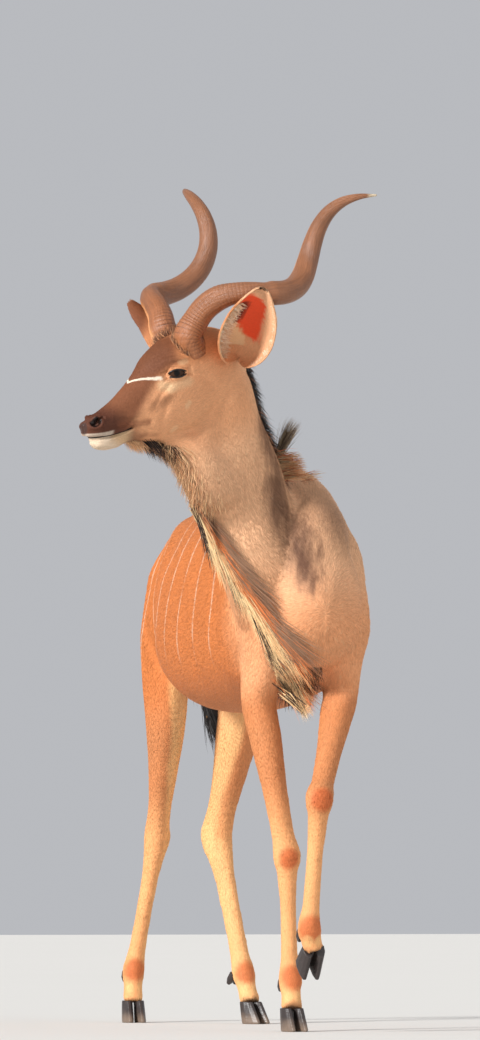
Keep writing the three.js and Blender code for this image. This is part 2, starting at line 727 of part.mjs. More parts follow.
// Beard: dark locks under the jaw, then paler ones back to the throat
const BEARD_LOCKS = 8;
const beard = Array.from({ length: BEARD_LOCKS }, (_, i) => {
  const x = 300 - 19 * i;
  const side = (i % 2 ? 8 : -8) + draw(-4, 4);
  const under = -84 - 5 * i;
  const fall = 52 + 40 * Math.sin(0.6 * i) ** 2 + draw(-6, 6);
  const path = [
    inHead(x, side, under + 14),
    inHead(x - 10, side, under - fall * 0.5),
    inHead(x - 34, side, under - fall),
  ];
  return { path, width: draw(26, 34), outward: headWay(0.2, 1, 0), steps: 3 };
});

// Tuft at the end of the tail
const TUFT_LOCKS = 7;
const tuft = Array.from({ length: TUFT_LOCKS }, (_, i) => {
  const turn = (i * 2 * Math.PI) / 5 + draw(-0.3, 0.3);
  const out = vec(Math.cos(turn), Math.sin(turn), 0);
  const root = mix(tailPath[3], tailPath[5], i / TUFT_LOCKS);
  const fall = draw(100, 150);
  const path = [
    root,
    root.clone().addScaledVector(out, 16).add(vec(8, 0, -fall * 0.3)),
    root.clone().addScaledVector(out, 22).add(vec(16, 0, -fall * 0.7)),
    root.clone().addScaledVector(out, 14).add(vec(24, 0, -fall)),
  ];
  return { path, width: draw(26, 34), outward: out };
});

// Dewclaws: two small blunt cones behind each fetlock
function dewclaw(leg, side) {
  const { fetlock, toes = FORE } = joints[leg];
  const out = toes.clone().cross(vec(0, 0, 1)).multiplyScalar(-side);
  const root = fetlock.clone().addScaledVector(out, 13).addScaledVector(toes, -22);
  const tip = root.clone().addScaledVector(toes, -20).add(vec(0, 0, -26));
  const stations = [0, 0.6, 1].map((t, i) => {
    const radius = [12, 10.5, 5][i];
    return { at: mix(root, tip, t), side: radius, fore: radius, aft: radius };
  });
  return lofted(new Loft(stations, { sides: 6, steps: 1, over: toes }));
}

// Putting the solids together
const SIDES = [
  ["left", 1],
  ["right", -1],
];
const legSolids = Object.fromEntries(Object.entries(legs).map(([n, l]) => [n, lofted(l)]));
const legTools = Object.values(legs).map((l) => lofted(l.grown(GAP)));
const neckTool = lofted(neck.grown(GAP));
const torsoTool = lofted(torso.grown(GAP));
const neckLocks = [...mane, ...throat, ...neckFringe];
const neckLockTool = locks(neckLocks, GAP);
const torsoLocks = cut(locks([...chestFringe, ...upright, ...blown]), neckTool, neckLockTool);
const bareHead = (grow) =>
  joined(
    lofted(headLoft.grown(grow)),
    lofted(jawLoft.grown(grow)),
    ...SIDES.flatMap(([, side]) => faceForms(side, grow)),
  );
const headTool = bareHead(GAP);
const faceCuts = SIDES.flatMap(([, side]) => [
  eyeball(side, GAP),
  lidOpening(side),
  ...nostrils(side),
]);
const beardLocks = cut(locks(beard), neckTool, neckLockTool);
const dressedHead = joined(bareHead(0), beardLocks, lids(1), lids(-1));
const dressedNeck = joined(lofted(neck), locks(neckLocks));

addNode("torso", cut(joined(lofted(torso), torsoLocks), ...legTools), COAT);
addNode("neck", cut(dressedNeck, torsoTool, headTool, ...legTools), COAT);
addNode("head", cut(dressedHead, mouthSlot(), ...faceCuts), COAT);
for (const [name, side] of SIDES) {
  addNode("eye_" + name, eyeball(side), EYE);
  addNode("horn_" + name, cut(lofted(hornLoft(side)), headTool), HORN);
  addNode("ear_" + name, cut(ear(ears[name]), headTool, lofted(hornLoft(side).grown(GAP))), COAT);
}
for (const [name, body] of Object.entries(legSolids)) {
  const tools = [];
  for (const [toeName, side] of [["outer", 1], ["inner", -1]]) {
    addNode(`hoof_${name}_${toeName}`, toe(side, feet[name]), HOOF);
    tools.push(toe(side, feet[name], GAP));
    const legTool = lofted(legs[name].grown(GAP));
    addNode(`dewclaw_${name}_${toeName}`, cut(dewclaw(name, side), legTool), HOOF);
  }
  addNode("leg_" + name, cut(body, ...tools), COAT);
}
addNode("tail", cut(joined(lofted(tailLoft), locks(tuft)), torsoTool), COAT);

// The origin is the middle of the whole animal's box, on the floor
const box = new THREE.Box3().setFromObject(group);
const middle = box.getCenter(vec(0, 0, 0));
group.position.set(-middle.x, -middle.y, 0);

export default group;
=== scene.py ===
"""A greater kudu bull with its coat, horns and hooves, standing on a plain pale floor."""

import copy
import math
from functools import partialmethod

import bmesh
import bpy
import numpy as np
from bpy.props import FloatProperty, FloatVectorProperty, IntProperty, PointerProperty
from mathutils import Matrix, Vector
from mathutils.bvhtree import BVHTree
from mathutils.kdtree import KDTree


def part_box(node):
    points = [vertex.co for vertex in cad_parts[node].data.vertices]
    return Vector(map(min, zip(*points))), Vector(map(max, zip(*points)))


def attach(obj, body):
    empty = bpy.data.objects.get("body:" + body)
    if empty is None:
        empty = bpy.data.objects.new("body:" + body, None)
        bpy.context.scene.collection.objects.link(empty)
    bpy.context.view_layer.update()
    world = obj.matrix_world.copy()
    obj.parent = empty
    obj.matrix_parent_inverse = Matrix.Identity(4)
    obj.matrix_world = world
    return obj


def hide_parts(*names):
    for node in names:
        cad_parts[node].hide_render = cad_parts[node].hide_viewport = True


bl_info = {
    "name": "Greater kudu",
    "version": (1, 0, 0),
    "blender": (4, 5, 0),
    "location": "View3D > Sidebar > Kudu",
    "description": "Builds the skin, coat, horns and hooves of a standing greater kudu",
    "category": "Add Mesh",
}

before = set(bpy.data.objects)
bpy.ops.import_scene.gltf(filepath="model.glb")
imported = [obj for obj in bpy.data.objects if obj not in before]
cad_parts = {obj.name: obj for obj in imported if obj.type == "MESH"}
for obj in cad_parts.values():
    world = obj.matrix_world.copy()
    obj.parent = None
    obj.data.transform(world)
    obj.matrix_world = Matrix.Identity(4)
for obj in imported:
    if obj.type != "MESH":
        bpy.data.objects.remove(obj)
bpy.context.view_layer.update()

# Lengths are in metres. +X is the animal's left, -Y the way its body faces, +Z up.
POLL = np.array((-0.252, -0.215, 1.599))
HEAD_TURN = math.radians(74.4)
NOSE_DIP = math.radians(24.8)
HEAD_ROLL = math.radians(5.0)
EYE_AT = np.array((0.165, 0.046, 0.032))
EYE_RADIUS = 0.025
EYE_OUT = np.array((0.38, 0.92, 0.08))
SIDES = (("left", 1), ("right", -1))


def turn_about(axis, angle):
    """A matrix that turns about x, y or z."""
    c, s = math.cos(angle), math.sin(angle)
    i, j = {"x": (1, 2), "y": (2, 0), "z": (0, 1)}[axis]
    matrix = np.eye(3)
    matrix[i, i] = matrix[j, j] = c
    matrix[i, j], matrix[j, i] = -s, s
    return matrix


HEAD = (
    turn_about("z", -math.pi / 2 - HEAD_TURN)
    @ turn_about("y", NOSE_DIP)
    @ turn_about("x", -HEAD_ROLL)
)


def in_head(points):
    """Head places, x forwards from the poll, y to its left and z up, as places on the animal."""
    return np.asarray(points, float) @ HEAD.T + POLL


def to_head(points):
    return (np.asarray(points, float) - POLL) @ HEAD


def unit(v):
    v = np.asarray(v, float)
    return v / np.maximum(np.linalg.norm(v, axis=-1, keepdims=True), 1e-9)


def smoothstep(x, low, high):
    t = np.clip((x - low) / (high - low), 0, 1)
    return t * t * (3 - 2 * t)


def mix(a, b, t):
    return (1 - t) * np.asarray(a, float) + t * np.asarray(b, float)


# The shoulders' middle on the floor is the sizes' own origin. The left eye shows where it lies.
EYE_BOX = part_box("eye_left")
ORIGIN = np.array((EYE_BOX[0] + EYE_BOX[1]) / 2) - in_head(EYE_AT)
ORIGIN[2] = 0.0


# Lofted bodies


def catmull(points, t):
    """Points of a centripetal curve through the given points, t from 0 to 1."""
    points = np.asarray(points, float)
    place = np.clip(np.asarray(t, float), 0, 1) * (len(points) - 1)
    i = np.minimum(place.astype(int), len(points) - 2)
    w = (place - i)[:, None]
    padded = np.vstack((2 * points[0] - points[1], points, 2 * points[-1] - points[-2]))
    p0, p1, p2, p3 = (padded[i + k] for k in range(4))

    def step(a, b):
        return np.maximum(np.linalg.norm(b - a, axis=1, keepdims=True), 1e-9) ** 0.5

    d0, d1, d2 = step(p0, p1), step(p1, p2), step(p2, p3)
    m1 = ((p1 - p0) / d0 - (p2 - p0) / (d0 + d1) + (p2 - p1) / d1) * d1
    m2 = ((p2 - p1) / d1 - (p3 - p1) / (d1 + d2) + (p3 - p2) / d2) * d1
    c2 = 3 * (p2 - p1) - 2 * m1 - m2
    c3 = 2 * (p1 - p2) + m1 + m2
    return p1 + w * (m1 + w * (c2 + w * c3))


class Loft:
    """A body through stations: centre, half sizes to the side, over and under it."""

    def __init__(self, stations, over=(0, 0, 1), square=2.1, taper=0.0):
        self.centres = np.array([s[0] for s in stations], float)
        self.sizes = np.array([s[1:4] for s in stations], float)
        self.overs = np.array([s[4] if len(s) > 4 else over for s in stations], float)
        self.tapers = np.array([s[5] if len(s) > 5 else taper for s in stations], float)
        self.square = square

    def blend(self, values, t):
        place = np.clip(t, 0, 1) * (len(values) - 1)
        i = np.minimum(place.astype(int), len(values) - 2)
        w = (place - i).reshape((-1,) + (1,) * (values.ndim - 1))
        return values[i] * (1 - w) + values[i + 1] * w

    def frame(self, t):
        """Centre, side and over directions and the way along, at each t."""
        t = np.atleast_1d(np.asarray(t, float))
        along = unit(catmull(self.centres, t + 1e-4) - catmull(self.centres, t - 1e-4))
        side = unit(np.cross(self.blend(self.overs, t), along))
        return catmull(self.centres, t), side, unit(np.cross(along, side)), along

    def points(self, t, angle, inset=0.0, relief=None):
        """Skin points, where angle 0 is the side and a quarter turn is over the centre."""
        t, angle = np.broadcast_arrays(np.asarray(t, float), np.asarray(angle, float))
        shape = t.shape
        t, angle = t.ravel(), angle.ravel()
        centre, side, over, _ = self.frame(t)
        size = np.maximum(catmull(self.sizes, t) - inset, 0.002)
        c, s = np.cos(angle), np.sin(angle)
        taper = self.blend(self.tapers, t)
        raised = 1 if relief is None else 1 + relief(t, angle)
        across = raised * np.sign(c) * np.abs(c) ** (2 / self.square) * size[:, 0] * (1 + taper * s)
        up = raised * np.sign(s) * np.abs(s) ** (2 / self.square)
        up = up * np.where(s > 0, size[:, 1], size[:, 2])
        return (centre + side * across[:, None] + over * up[:, None]).reshape(shape + (3,))

    def grid(self, rows, sides, **options):
        t = np.linspace(0, 1, rows + 1)[:, None]
        angle = np.linspace(0, 2 * math.pi, sides, endpoint=False)[None, :]
        return self.points(t, angle, **options)


# Half sizes of the trunk, from the chest to the rump
TORSO = Loft(
    [
        ((0, -0.218, 0.985), 0.032, 0.048, 0.052),
        ((0, -0.202, 0.99), 0.074, 0.098, 0.106),
        ((0, -0.16, 1.0), 0.116, 0.15, 0.15),
        ((0, -0.08, 1.025), 0.15, 0.25, 0.21),
        ((0, 0.05, 1.04), 0.168, 0.325, 0.248),
        ((0, 0.22, 1.025), 0.184, 0.318, 0.25),
        ((0, 0.43, 1.015), 0.193, 0.303, 0.25),
        ((0, 0.62, 1.015), 0.196, 0.3, 0.238),
        ((0, 0.8, 1.045), 0.178, 0.268, 0.19),
        ((0, 0.94, 1.085), 0.14, 0.212, 0.16),
        ((0, 1.04, 1.11), 0.092, 0.15, 0.13),
        ((0, 1.085, 1.12), 0.044, 0.088, 0.082),
        ((0, 1.099, 1.122), 0.014, 0.034, 0.032),
    ],
    taper=-0.14,
)
# The neck bends to the right and twists, from the chest to the head
NECK = Loft(
    [
        ((-0.025, 0.015, 0.985), 0.105, 0.15, 0.15, (0.25, 0.8, 0.55)),
        ((-0.098, -0.062, 1.11), 0.108, 0.15, 0.138, (0.6, 0.65, 0.45)),
        ((-0.15, -0.098, 1.22), 0.096, 0.128, 0.122, (0.85, 0.42, 0.3)),
        ((-0.19, -0.13, 1.325), 0.084, 0.116, 0.116, (0.92, 0.3, 0.25)),
        ((-0.232, -0.178, 1.44), 0.074, 0.094, 0.104, (0.92, 0.3, 0.25)),
        ((-0.256, -0.214, 1.53), 0.062, 0.08, 0.084, (0.9, 0.3, 0.36)),
        ((-0.276, -0.226, 1.59), 0.044, 0.056, 0.06, (0.85, 0.28, 0.45)),
    ],
    square=2.0,
)
# The skull's profile from the poll to the nose: how far ahead, top, bottom, half width, taper
HEAD_PROFILE = [
    (-0.036, 0.042, -0.034, 0.03, 0.1),
    (-0.022, 0.066, -0.064, 0.052, 0.1),
    (0.02, 0.092, -0.094, 0.068, 0.12),
    (0.075, 0.106, -0.11, 0.074, 0.14),
    (0.125, 0.106, -0.121, 0.073, 0.14),
    (0.175, 0.092, -0.126, 0.068, 0.1),
    (0.215, 0.074, -0.121, 0.057, 0.0),
    (0.255, 0.056, -0.108, 0.049, -0.06),
    (0.3, 0.039, -0.088, 0.042, -0.08),
    (0.34, 0.025, -0.066, 0.038, -0.06),
    (0.37, 0.018, -0.054, 0.037, 0.0),
    (0.395, 0.016, -0.046, 0.036, 0.05),
    (0.412, 0.01, -0.04, 0.031, 0.05),
    (0.423, -0.001, -0.033, 0.02, 0.0),
    (0.427, -0.009, -0.025, 0.009, 0.0),
]
OVER_HEAD = HEAD[:, 2]


def skull_station(ahead, top, bottom, side, taper):
    height = (top - bottom) / 2
    return (in_head((ahead, 0, (top + bottom) / 2)), side, height, height, OVER_HEAD, taper)


SKULL = Loft([skull_station(*row) for row in HEAD_PROFILE], square=2.35)
JAW = Loft(
    [
        (in_head(at), side, fore, aft)
        for at, side, fore, aft in (
            ((0.18, 0, -0.098), 0.04, 0.03, 0.028),
            ((0.25, 0, -0.084), 0.035, 0.028, 0.028),
            ((0.3, 0, -0.07), 0.029, 0.024, 0.021),
            ((0.328, 0, -0.062), 0.028, 0.026, 0.02),
            ((0.355, 0, -0.057), 0.03, 0.026, 0.026),
            ((0.385, 0, -0.053), 0.029, 0.022, 0.024),
            ((0.406, 0, -0.048), 0.023, 0.014, 0.017),
            ((0.416, 0, -0.044), 0.01, 0.006, 0.006),
        )
    ],
    over=OVER_HEAD,
    square=2.0,
)

# Feet: where each sole is, which way it points and how far the toes dip, in degrees
FEET = {
    "fore_right": ((-0.022, -0.016, 0), 6, 0),
    "fore_left": ((-0.024, -0.146, 0.169), 4, 62),
    "hind_right": ((-0.114, 1.108, 0), -4, 0),
    "hind_left": ((0.13, 0.866, 0), 24, 0),
}


def in_foot(name, point):
    at, turn, dip = FEET[name]
    matrix = turn_about("z", math.radians(turn)) @ turn_about("x", math.radians(dip))
    return matrix @ np.asarray(point, float) + np.array(at)


def coronet(name):
    return in_foot(name, (0, 0.004, 0.052))


# Each row follows a joint, counted from the shoulder, by a share of the way to the next one
FORELEG_ROWS = (
    (0, 0, 0.054, 0.108, 0.088),
    (0, 0.55, 0.046, 0.08, 0.076),
    (1, 0, 0.04, 0.05, 0.062),
    (1, 0.22, 0.038, 0.044, 0.045),
    (1, 0.58, 0.029, 0.032, 0.031),
    (1, 0.86, 0.027, 0.027, 0.026),
    (2, 0, 0.035, 0.032, 0.028),
    (2, 0.14, 0.024, 0.023, 0.026),
    (2, 0.45, 0.0175, 0.018, 0.024),
    (2, 0.82, 0.0195, 0.019, 0.026),
    (3, 0, 0.029, 0.027, 0.031),
    (3, 0.5, 0.023, 0.022, 0.023),
    (4, 0, 0.027, 0.027, 0.025),
)


def foreleg(side, shoulder, elbow, name):
    knee, fetlock, ankle = KNEES[name], FETLOCKS[name], coronet(name)
    blade = np.array((side * 0.062, 0.055, 1.27))
    rows = [
        (blade, 0.026, 0.055, 0.06),
        (mix(blade, shoulder, 0.42) + (side * 0.024, 0, 0), 0.044, 0.098, 0.086),
        (mix(blade, shoulder, 0.78) + (side * 0.016, 0, 0), 0.052, 0.112, 0.092),
    ]
    joints = (shoulder, elbow, knee, fetlock, ankle, ankle)
    rows += [(mix(joints[i], joints[i + 1], share), *sizes) for i, share, *sizes in FORELEG_ROWS]
    return Loft(rows, over=(0, -1, 0))


def hindleg(side, hip, stifle, name, toes=(0, -1, 0)):
    hock, fetlock, ankle = HOCKS[name], FETLOCKS[name], coronet(name)
    hip = np.asarray(hip, float)
    back = np.array((0, 1.0, 0))
    rows = [
        (hip + (-side * 0.024, 0, 0.07), 0.034, 0.095, 0.085),
        (hip, 0.052, 0.14, 0.12),
        (mix(hip, stifle, 0.45) + 0.022 * back, 0.06, 0.14, 0.13),
        (mix(hip, stifle, 0.85) + 0.038 * back, 0.058, 0.11, 0.112),
        (mix(stifle, hock, 0.2) + 0.016 * back, 0.05, 0.076, 0.082),
        (mix(stifle, hock, 0.5), 0.038, 0.047, 0.052),
        (mix(stifle, hock, 0.8), 0.027, 0.032, 0.046),
        (mix(stifle, hock, 0.92), 0.027, 0.033, 0.052),
        (hock, 0.032, 0.037, 0.052),
        (mix(hock, fetlock, 0.14), 0.025, 0.03, 0.04),
        (mix(hock, fetlock, 0.3), 0.019, 0.023, 0.033),
        (mix(hock, fetlock, 0.6), 0.0175, 0.021, 0.03),
        (mix(hock, fetlock, 0.85), 0.02, 0.021, 0.029),
        (fetlock, 0.028, 0.028, 0.032),
        (mix(fetlock, ankle, 0.5), 0.023, 0.022, 0.023),
        (ankle, 0.027, 0.027, 0.025),
    ]
    forwards = [(0, -1, 0)] * 5 + [toes] * 11
    return Loft([row + (way,) for row, way in zip(rows, forwards)])


KNEES = {"fore_right": (-0.03, 0.004, 0.42), "fore_left": (-0.026, -0.258, 0.556)}
HOCKS = {"hind_right": (-0.066, 1.048, 0.475), "hind_left": (0.078, 0.985, 0.47)}
FETLOCKS = {
    "fore_right": (-0.018, 0.014, 0.122),
    "fore_left": (-0.036, -0.206, 0.243),
    "hind_right": (-0.108, 1.128, 0.13),
    "hind_left": (0.122, 0.902, 0.126),
}
LEGS = {
    "fore_right": foreleg(-1, (-0.096, -0.028, 0.965), (-0.096, 0.012, 0.785), "fore_right"),
    "fore_left": foreleg(1, (0.093, -0.044, 0.975), (0.092, -0.042, 0.806), "fore_left"),
    "hind_right": hindleg(-1, (-0.08, 0.9, 1.13), (-0.092, 0.838, 0.85), "hind_right"),
    "hind_left": hindleg(1, (0.08, 0.9, 1.13), (0.098, 0.8, 0.85), "hind_left", (0.6, -0.8, 0)),
}
TAIL_PATH = [
    (0, 1.05, 1.215),
    (0.008, 1.105, 1.185),
    (0.032, 1.142, 1.08),
    (0.066, 1.15, 0.95),
    (0.092, 1.152, 0.85),
    (0.106, 1.15, 0.78),
]
TAIL_RADII = (0.034, 0.028, 0.021, 0.018, 0.015, 0.008)
TAIL = Loft([(at, r, r * 0.8, r * 0.8) for at, r in zip(TAIL_PATH, TAIL_RADII)], over=(0, 1, 0.3))

# Horns: a tapering helix round a straight axis that rises from the brow
HORN_AXIS_LENGTH = 0.55
HORN_BASE_RADIUS = 0.03
HORN_ROOT = np.array((0.11, 0.08, 0.101))


def horn_path(side, count):
    away, lift = 2.718 + side * 0.157, 0.292 - side * 0.0585
    start, turns = 3.271 - side * 0.217, 1.535 + side * 0.027
    axis = np.array((math.cos(lift) * math.cos(away), math.cos(lift) * math.sin(away), math.sin(lift)))
    across = unit(np.cross((0, 0, 1), axis))
    over = np.cross(axis, across)
    t = np.linspace(0, 1, count)[:, None]
    angle = start + 2 * math.pi * (turns - 0.151 * t) * t
    radius = -(0.0297 + 0.0538 * t - 0.0314 * t * t)
    p = HORN_ROOT + HORN_AXIS_LENGTH * t * axis
    p = p + radius * (np.cos(angle) * across + np.sin(angle) * over)
    return in_head(p * (1, side, 1))


def horn_loft(side):
    path = horn_path(side, 17)
    path = np.vstack((in_head((0.1, side * 0.044, 0.05)), path))
    t = np.linspace(0, 1, len(path))
    radii = np.maximum(HORN_BASE_RADIUS * np.clip(1 - t**3, 0, 1) ** 0.8, 0.0022)
    over = HEAD @ np.array((0.12, side * -0.46, 0.88))
    return Loft([(p, r, r * 1.08, r * 0.98) for p, r in zip(path, radii)], over=over, square=2.0)


# Ears: a deep cup, rolled to a tube at the root and opening to a broad blunt leaf
EAR_LENGTH = 0.228
EAR_HALF_WIDTH = 0.066
EAR_THICKNESS = 0.0042
EARS = {
    "left": ((0.006, 0.066, 0.002), (-0.036, 0.144, 0.157), (0.66, 0.66, -0.3)),
    "right": ((0.006, -0.066, 0.0), (0.068, -0.15, 0.194), (0.74, -0.42, -0.52)),
}


def ear_points(name, t, v, depth):
    """Points of an ear: t runs from root to tip and v from edge to edge, from -1 to 1."""
    root, along, facing = EARS[name]
    start = in_head(root)
    way = unit(HEAD @ np.array(along))
    across = unit(np.cross(way, HEAD @ np.array(facing)))
    open_way = unit(np.cross(across, way))
    t, v = np.broadcast_arrays(np.asarray(t, float), np.asarray(v, float))
    leaf = np.sin(math.pi * (0.04 + 0.9 * t)) ** 0.75
    half = 0.015 + (EAR_HALF_WIDTH - 0.015) * leaf - 0.011 * t**5
    curl = 2.5 - 1.2 * np.minimum(t * 1.4, 1) ** 0.8
    radius = half / np.sin(np.minimum(curl, math.pi / 2))
    bent = v * curl
    out = radius - 0.015 - (radius - depth) * np.cos(bent) + 0.014 * t * t
    return (
        start
        + way * (EAR_LENGTH * t)[..., None]
        + across * ((radius - depth) * np.sin(bent))[..., None]
        + open_way * out[..., None]
    )


# Meshes


def new_object(name, points, faces):
    """A mesh object from points in the sizes' own frame."""
    mesh = bpy.data.meshes.new(name)
    mesh.from_pydata((np.asarray(points) + ORIGIN).tolist(), [], faces)
    mesh.update()
    piece = bpy.data.objects.new(name, mesh)
    bpy.context.scene.collection.objects.link(piece)
    return piece


def only(*pieces):
    """Selects these pieces alone and makes the first of them active."""
    bpy.ops.object.select_all(action="DESELECT")
    for piece in pieces:
        piece.select_set(True)
    bpy.context.view_layer.objects.active = pieces[0]


def ring_faces(count, sides, rows):
    """Quads between each of the first count rings and the next one, of rows in all."""
    faces = []
    for i in range(count):
        j = (i + 1) % rows
        for k in range(sides):
            n = (k + 1) % sides
            faces.append((i * sides + k, i * sides + n, j * sides + n, j * sides + k))
    return faces


def grid_faces(rows, sides):
    """Quads of a grid that closes on itself sideways, and fans over its two ends."""
    faces = ring_faces(rows, sides, rows + 1)
    start, end = (rows + 1) * sides, (rows + 1) * sides + 1
    for k in range(sides):
        n = (k + 1) % sides
        faces.append((start, n, k))
        faces.append((end, rows * sides + k, rows * sides + n))
    return faces


def lofted(name, grid):
    """A closed body from a grid of rings."""
    rows, sides = grid.shape[0] - 1, grid.shape[1]
    ends = np.array((grid[0].mean(0), grid[-1].mean(0)))
    piece = new_object(name, np.vstack((grid.reshape(-1, 3), ends)), grid_faces(rows, sides))
    outwards(piece)
    return piece


def outwards(piece):
    only(piece)
    bpy.ops.object.mode_set(mode="EDIT")
    bpy.ops.mesh.select_all(action="SELECT")
    bpy.ops.mesh.normals_make_consistent(inside=False)
    bpy.ops.object.mode_set(mode="OBJECT")


def joined(*pieces):
    only(*pieces)
    bpy.ops.object.join()
    return pieces[0]


def apply(piece, kind, **settings):
    """Adds a modifier with its settings and applies it."""
    modifier = piece.modifiers.new(kind.title(), kind)
    for key, value in settings.items():
        setattr(modifier, key, value)
    only(piece)
    bpy.ops.object.modifier_apply(modifier=modifier.name)


def coordinates(mesh):
    co = np.empty(len(mesh.vertices) * 3)
    mesh.vertices.foreach_get("co", co)
    return co.reshape(-1, 3) - ORIGIN


def set_coordinates(mesh, points):
    mesh.vertices.foreach_set("co", (points + ORIGIN).ravel())
    mesh.update()


def vertex_normals(mesh):
    no = np.empty(len(mesh.vertices) * 3, np.float32)
    mesh.vertex_normals.foreach_get("vector", no)
    return no.reshape(-1, 3).astype(float)


def store(mesh, name, values):
    """Keeps a number, or a vector of three, for each vertex."""
    kind, key = ("FLOAT", "value") if values.ndim == 1 else ("FLOAT_VECTOR", "vector")
    layer = mesh.attributes.new(name, kind, "POINT")
    layer.data.foreach_set(key, values.astype(np.float32).ravel())


def ball(name, centre, axes, radii):
    """An ellipsoid with its half sizes along three axes."""
    bpy.ops.mesh.primitive_ico_sphere_add(subdivisions=4, radius=1)
    piece = bpy.context.active_object
    piece.name = name
    co = np.empty(len(piece.data.vertices) * 3)
    piece.data.vertices.foreach_get("co", co)
    points = (co.reshape(-1, 3) * radii) @ np.asarray(axes) + centre
    set_coordinates(piece.data, points)
    outwards(piece)
    return piece


def head_axes(out, tilt=0.0):
    """Axes on the head as rows: along the head, over it, and out of it the given way."""
    z = unit(HEAD @ np.asarray(out, float))
    y = unit(OVER_HEAD - z * (OVER_HEAD @ z))
    x = np.cross(y, z)
    c, s = math.cos(tilt), math.sin(tilt)
    return np.array((c * x + s * y, c * y - s * x, z))


HEAD_VOXEL = 0.0036
HEAD_SMOOTHINGS = 7

# Face forms on each side: place, half sizes, way out and tilt
FACE_FORMS = (
    ((0.16, 0.05, 0.059), (0.046, 0.014, 0.017), (0.2, 0.85, 0.5), -0.2),
    ((0.385, 0.023, 0.0), (0.022, 0.015, 0.0115), (0.35, 0.9, 0.25), -0.5),
    ((0.16, 0.046, -0.056), (0.062, 0.044, 0.014), (0.1, 0.97, -0.15), 0.0),
    ((0.165, 0.046, 0.032), (0.040, 0.031, 0.0275), (0.38, 0.92, 0.08), 0.0),
)


def head_skin(inset):
    """The bare head with its jaw and face forms as one closed surface."""
    pieces = [
        lofted("skull", SKULL.grid(70, 64, inset=inset)),
        lofted("jaw", JAW.grid(40, 40, inset=inset)),
        lofted("upper neck", NECK_TOP.grid(30, 48, inset=inset * 2)),
        lofted("throat", THROAT.grid(24, 40)),
        ball("under the jaw", in_head(UNDER_JAW), HEAD.T, UNDER_JAW_SIZES),
    ]
    for at, radii, out, tilt in FACE_FORMS:
        for _, side in SIDES:
            axes = head_axes((out[0], side * out[1], out[2]), side * tilt)
            centre = in_head((at[0], side * at[1], at[2]))
            pieces.append(ball("form", centre, axes, np.array(radii) - inset))
    head = joined(*pieces)
    apply(head, "REMESH", mode="VOXEL", voxel_size=HEAD_VOXEL, adaptivity=0.0)
    apply(head, "SMOOTH", factor=0.5, iterations=HEAD_SMOOTHINGS)
    return head


NECK_TOP = Loft(
    [
        ((-0.19, -0.13, 1.325), 0.07, 0.1, 0.1, (0.92, 0.3, 0.25)),
        ((-0.232, -0.178, 1.44), 0.0715, 0.0915, 0.1015, (0.92, 0.3, 0.25)),
        ((-0.256, -0.214, 1.53), 0.062, 0.08, 0.084, (0.9, 0.3, 0.36)),
        ((-0.276, -0.226, 1.59), 0.044, 0.056, 0.06, (0.85, 0.28, 0.45)),
    ],
    square=2.0,
)


# A form that closes the gap between the jaw's angle, the throat and the neck
UNDER_JAW = (0.115, 0.0, -0.14)
UNDER_JAW_SIZES = (0.05, 0.047, 0.04)

# The throat, which fills the angle between the jaw and the neck
THROAT = Loft(
    [
        (in_head((0.25, 0, -0.085)), 0.018, 0.012, 0.012),
        (in_head((0.225, 0, -0.108)), 0.027, 0.024, 0.02),
        (in_head((0.195, 0, -0.136)), 0.04, 0.036, 0.034),
        (in_head((0.168, 0, -0.17)), 0.052, 0.046, 0.05),
        (in_head((0.155, -0.004, -0.215)), 0.062, 0.052, 0.07),
        (in_head((0.135, -0.015, -0.275)), 0.066, 0.054, 0.07),
        (in_head((0.09, -0.03, -0.335)), 0.05, 0.042, 0.06),
    ],
    over=HEAD[:, 0] - OVER_HEAD,
    square=2.0,
)


def ear_skin(name):
    rows, columns = 44, 40
    t = np.linspace(0, 1, rows + 1)[:, None]
    v = np.linspace(-1, 1, columns + 1)[None, :]
    outer = ear_points(name, t, v, 0.0)
    inner = ear_points(name, t, v[:, ::-1], EAR_THICKNESS)
    return lofted("ear " + name, np.concatenate((outer, inner), axis=1))


BODY_VOXEL = 0.0094
BODY_SMOOTHINGS = 6
LIMB_COAT = 0.002


def kept_thick(loft):
    """A loft less the coat's depth, but thicker by what smoothing will take off it."""
    thick = copy.copy(loft)
    lost = BODY_SMOOTHINGS * BODY_VOXEL**2 / (8 * loft.sizes)
    thick.sizes = loft.sizes - LIMB_COAT + np.minimum(lost, 0.006)
    return thick


def body_skin(inset):
    """Trunk, neck, legs and tail as one closed surface."""
    pieces = [
        lofted("trunk", TORSO.grid(90, 96, inset=inset + 0.005)),
        lofted("neck", NECK.grid(60, 64, inset=inset)),
        lofted("tail", kept_thick(TAIL).grid(40, 24)),
    ]
    for name, leg in LEGS.items():
        pieces.append(lofted(name, kept_thick(leg).grid(120, 40)))
    body = joined(*pieces)
    apply(body, "REMESH", mode="VOXEL", voxel_size=BODY_VOXEL, adaptivity=0.0)
    apply(body, "SMOOTH", factor=0.5, iterations=BODY_SMOOTHINGS)
    smooth_seam(body, neck_base, 40)
    return body


def neck_base(points):
    """Where the neck runs into the shoulders and the chest."""
    weight = np.zeros(len(points))
    for place in ((0.07, -0.13, 1.13), (0.0, -0.02, 1.3), (0.03, -0.17, 1.04), (-0.05, -0.13, 0.98)):
        d = np.linalg.norm(points - place, axis=1)
        weight = np.maximum(weight, np.exp(-((d / 0.1) ** 2)))
    return weight


def to_segment(p, a, b):
    """Distances of points from a segment, and how far along it they are, from 0 to 1."""
    a, b = np.asarray(a, float), np.asarray(b, float)
    d = b - a
    t = np.clip(((p - a) @ d) / (d @ d), 0, 1)
    return np.linalg.norm(p - a - t[:, None] * d, axis=1), t


def to_line(p, line):
    """Distances of points from a bent line."""
    return np.min([to_segment(p, a, b)[0] for a, b in zip(line, line[1:])], axis=0)


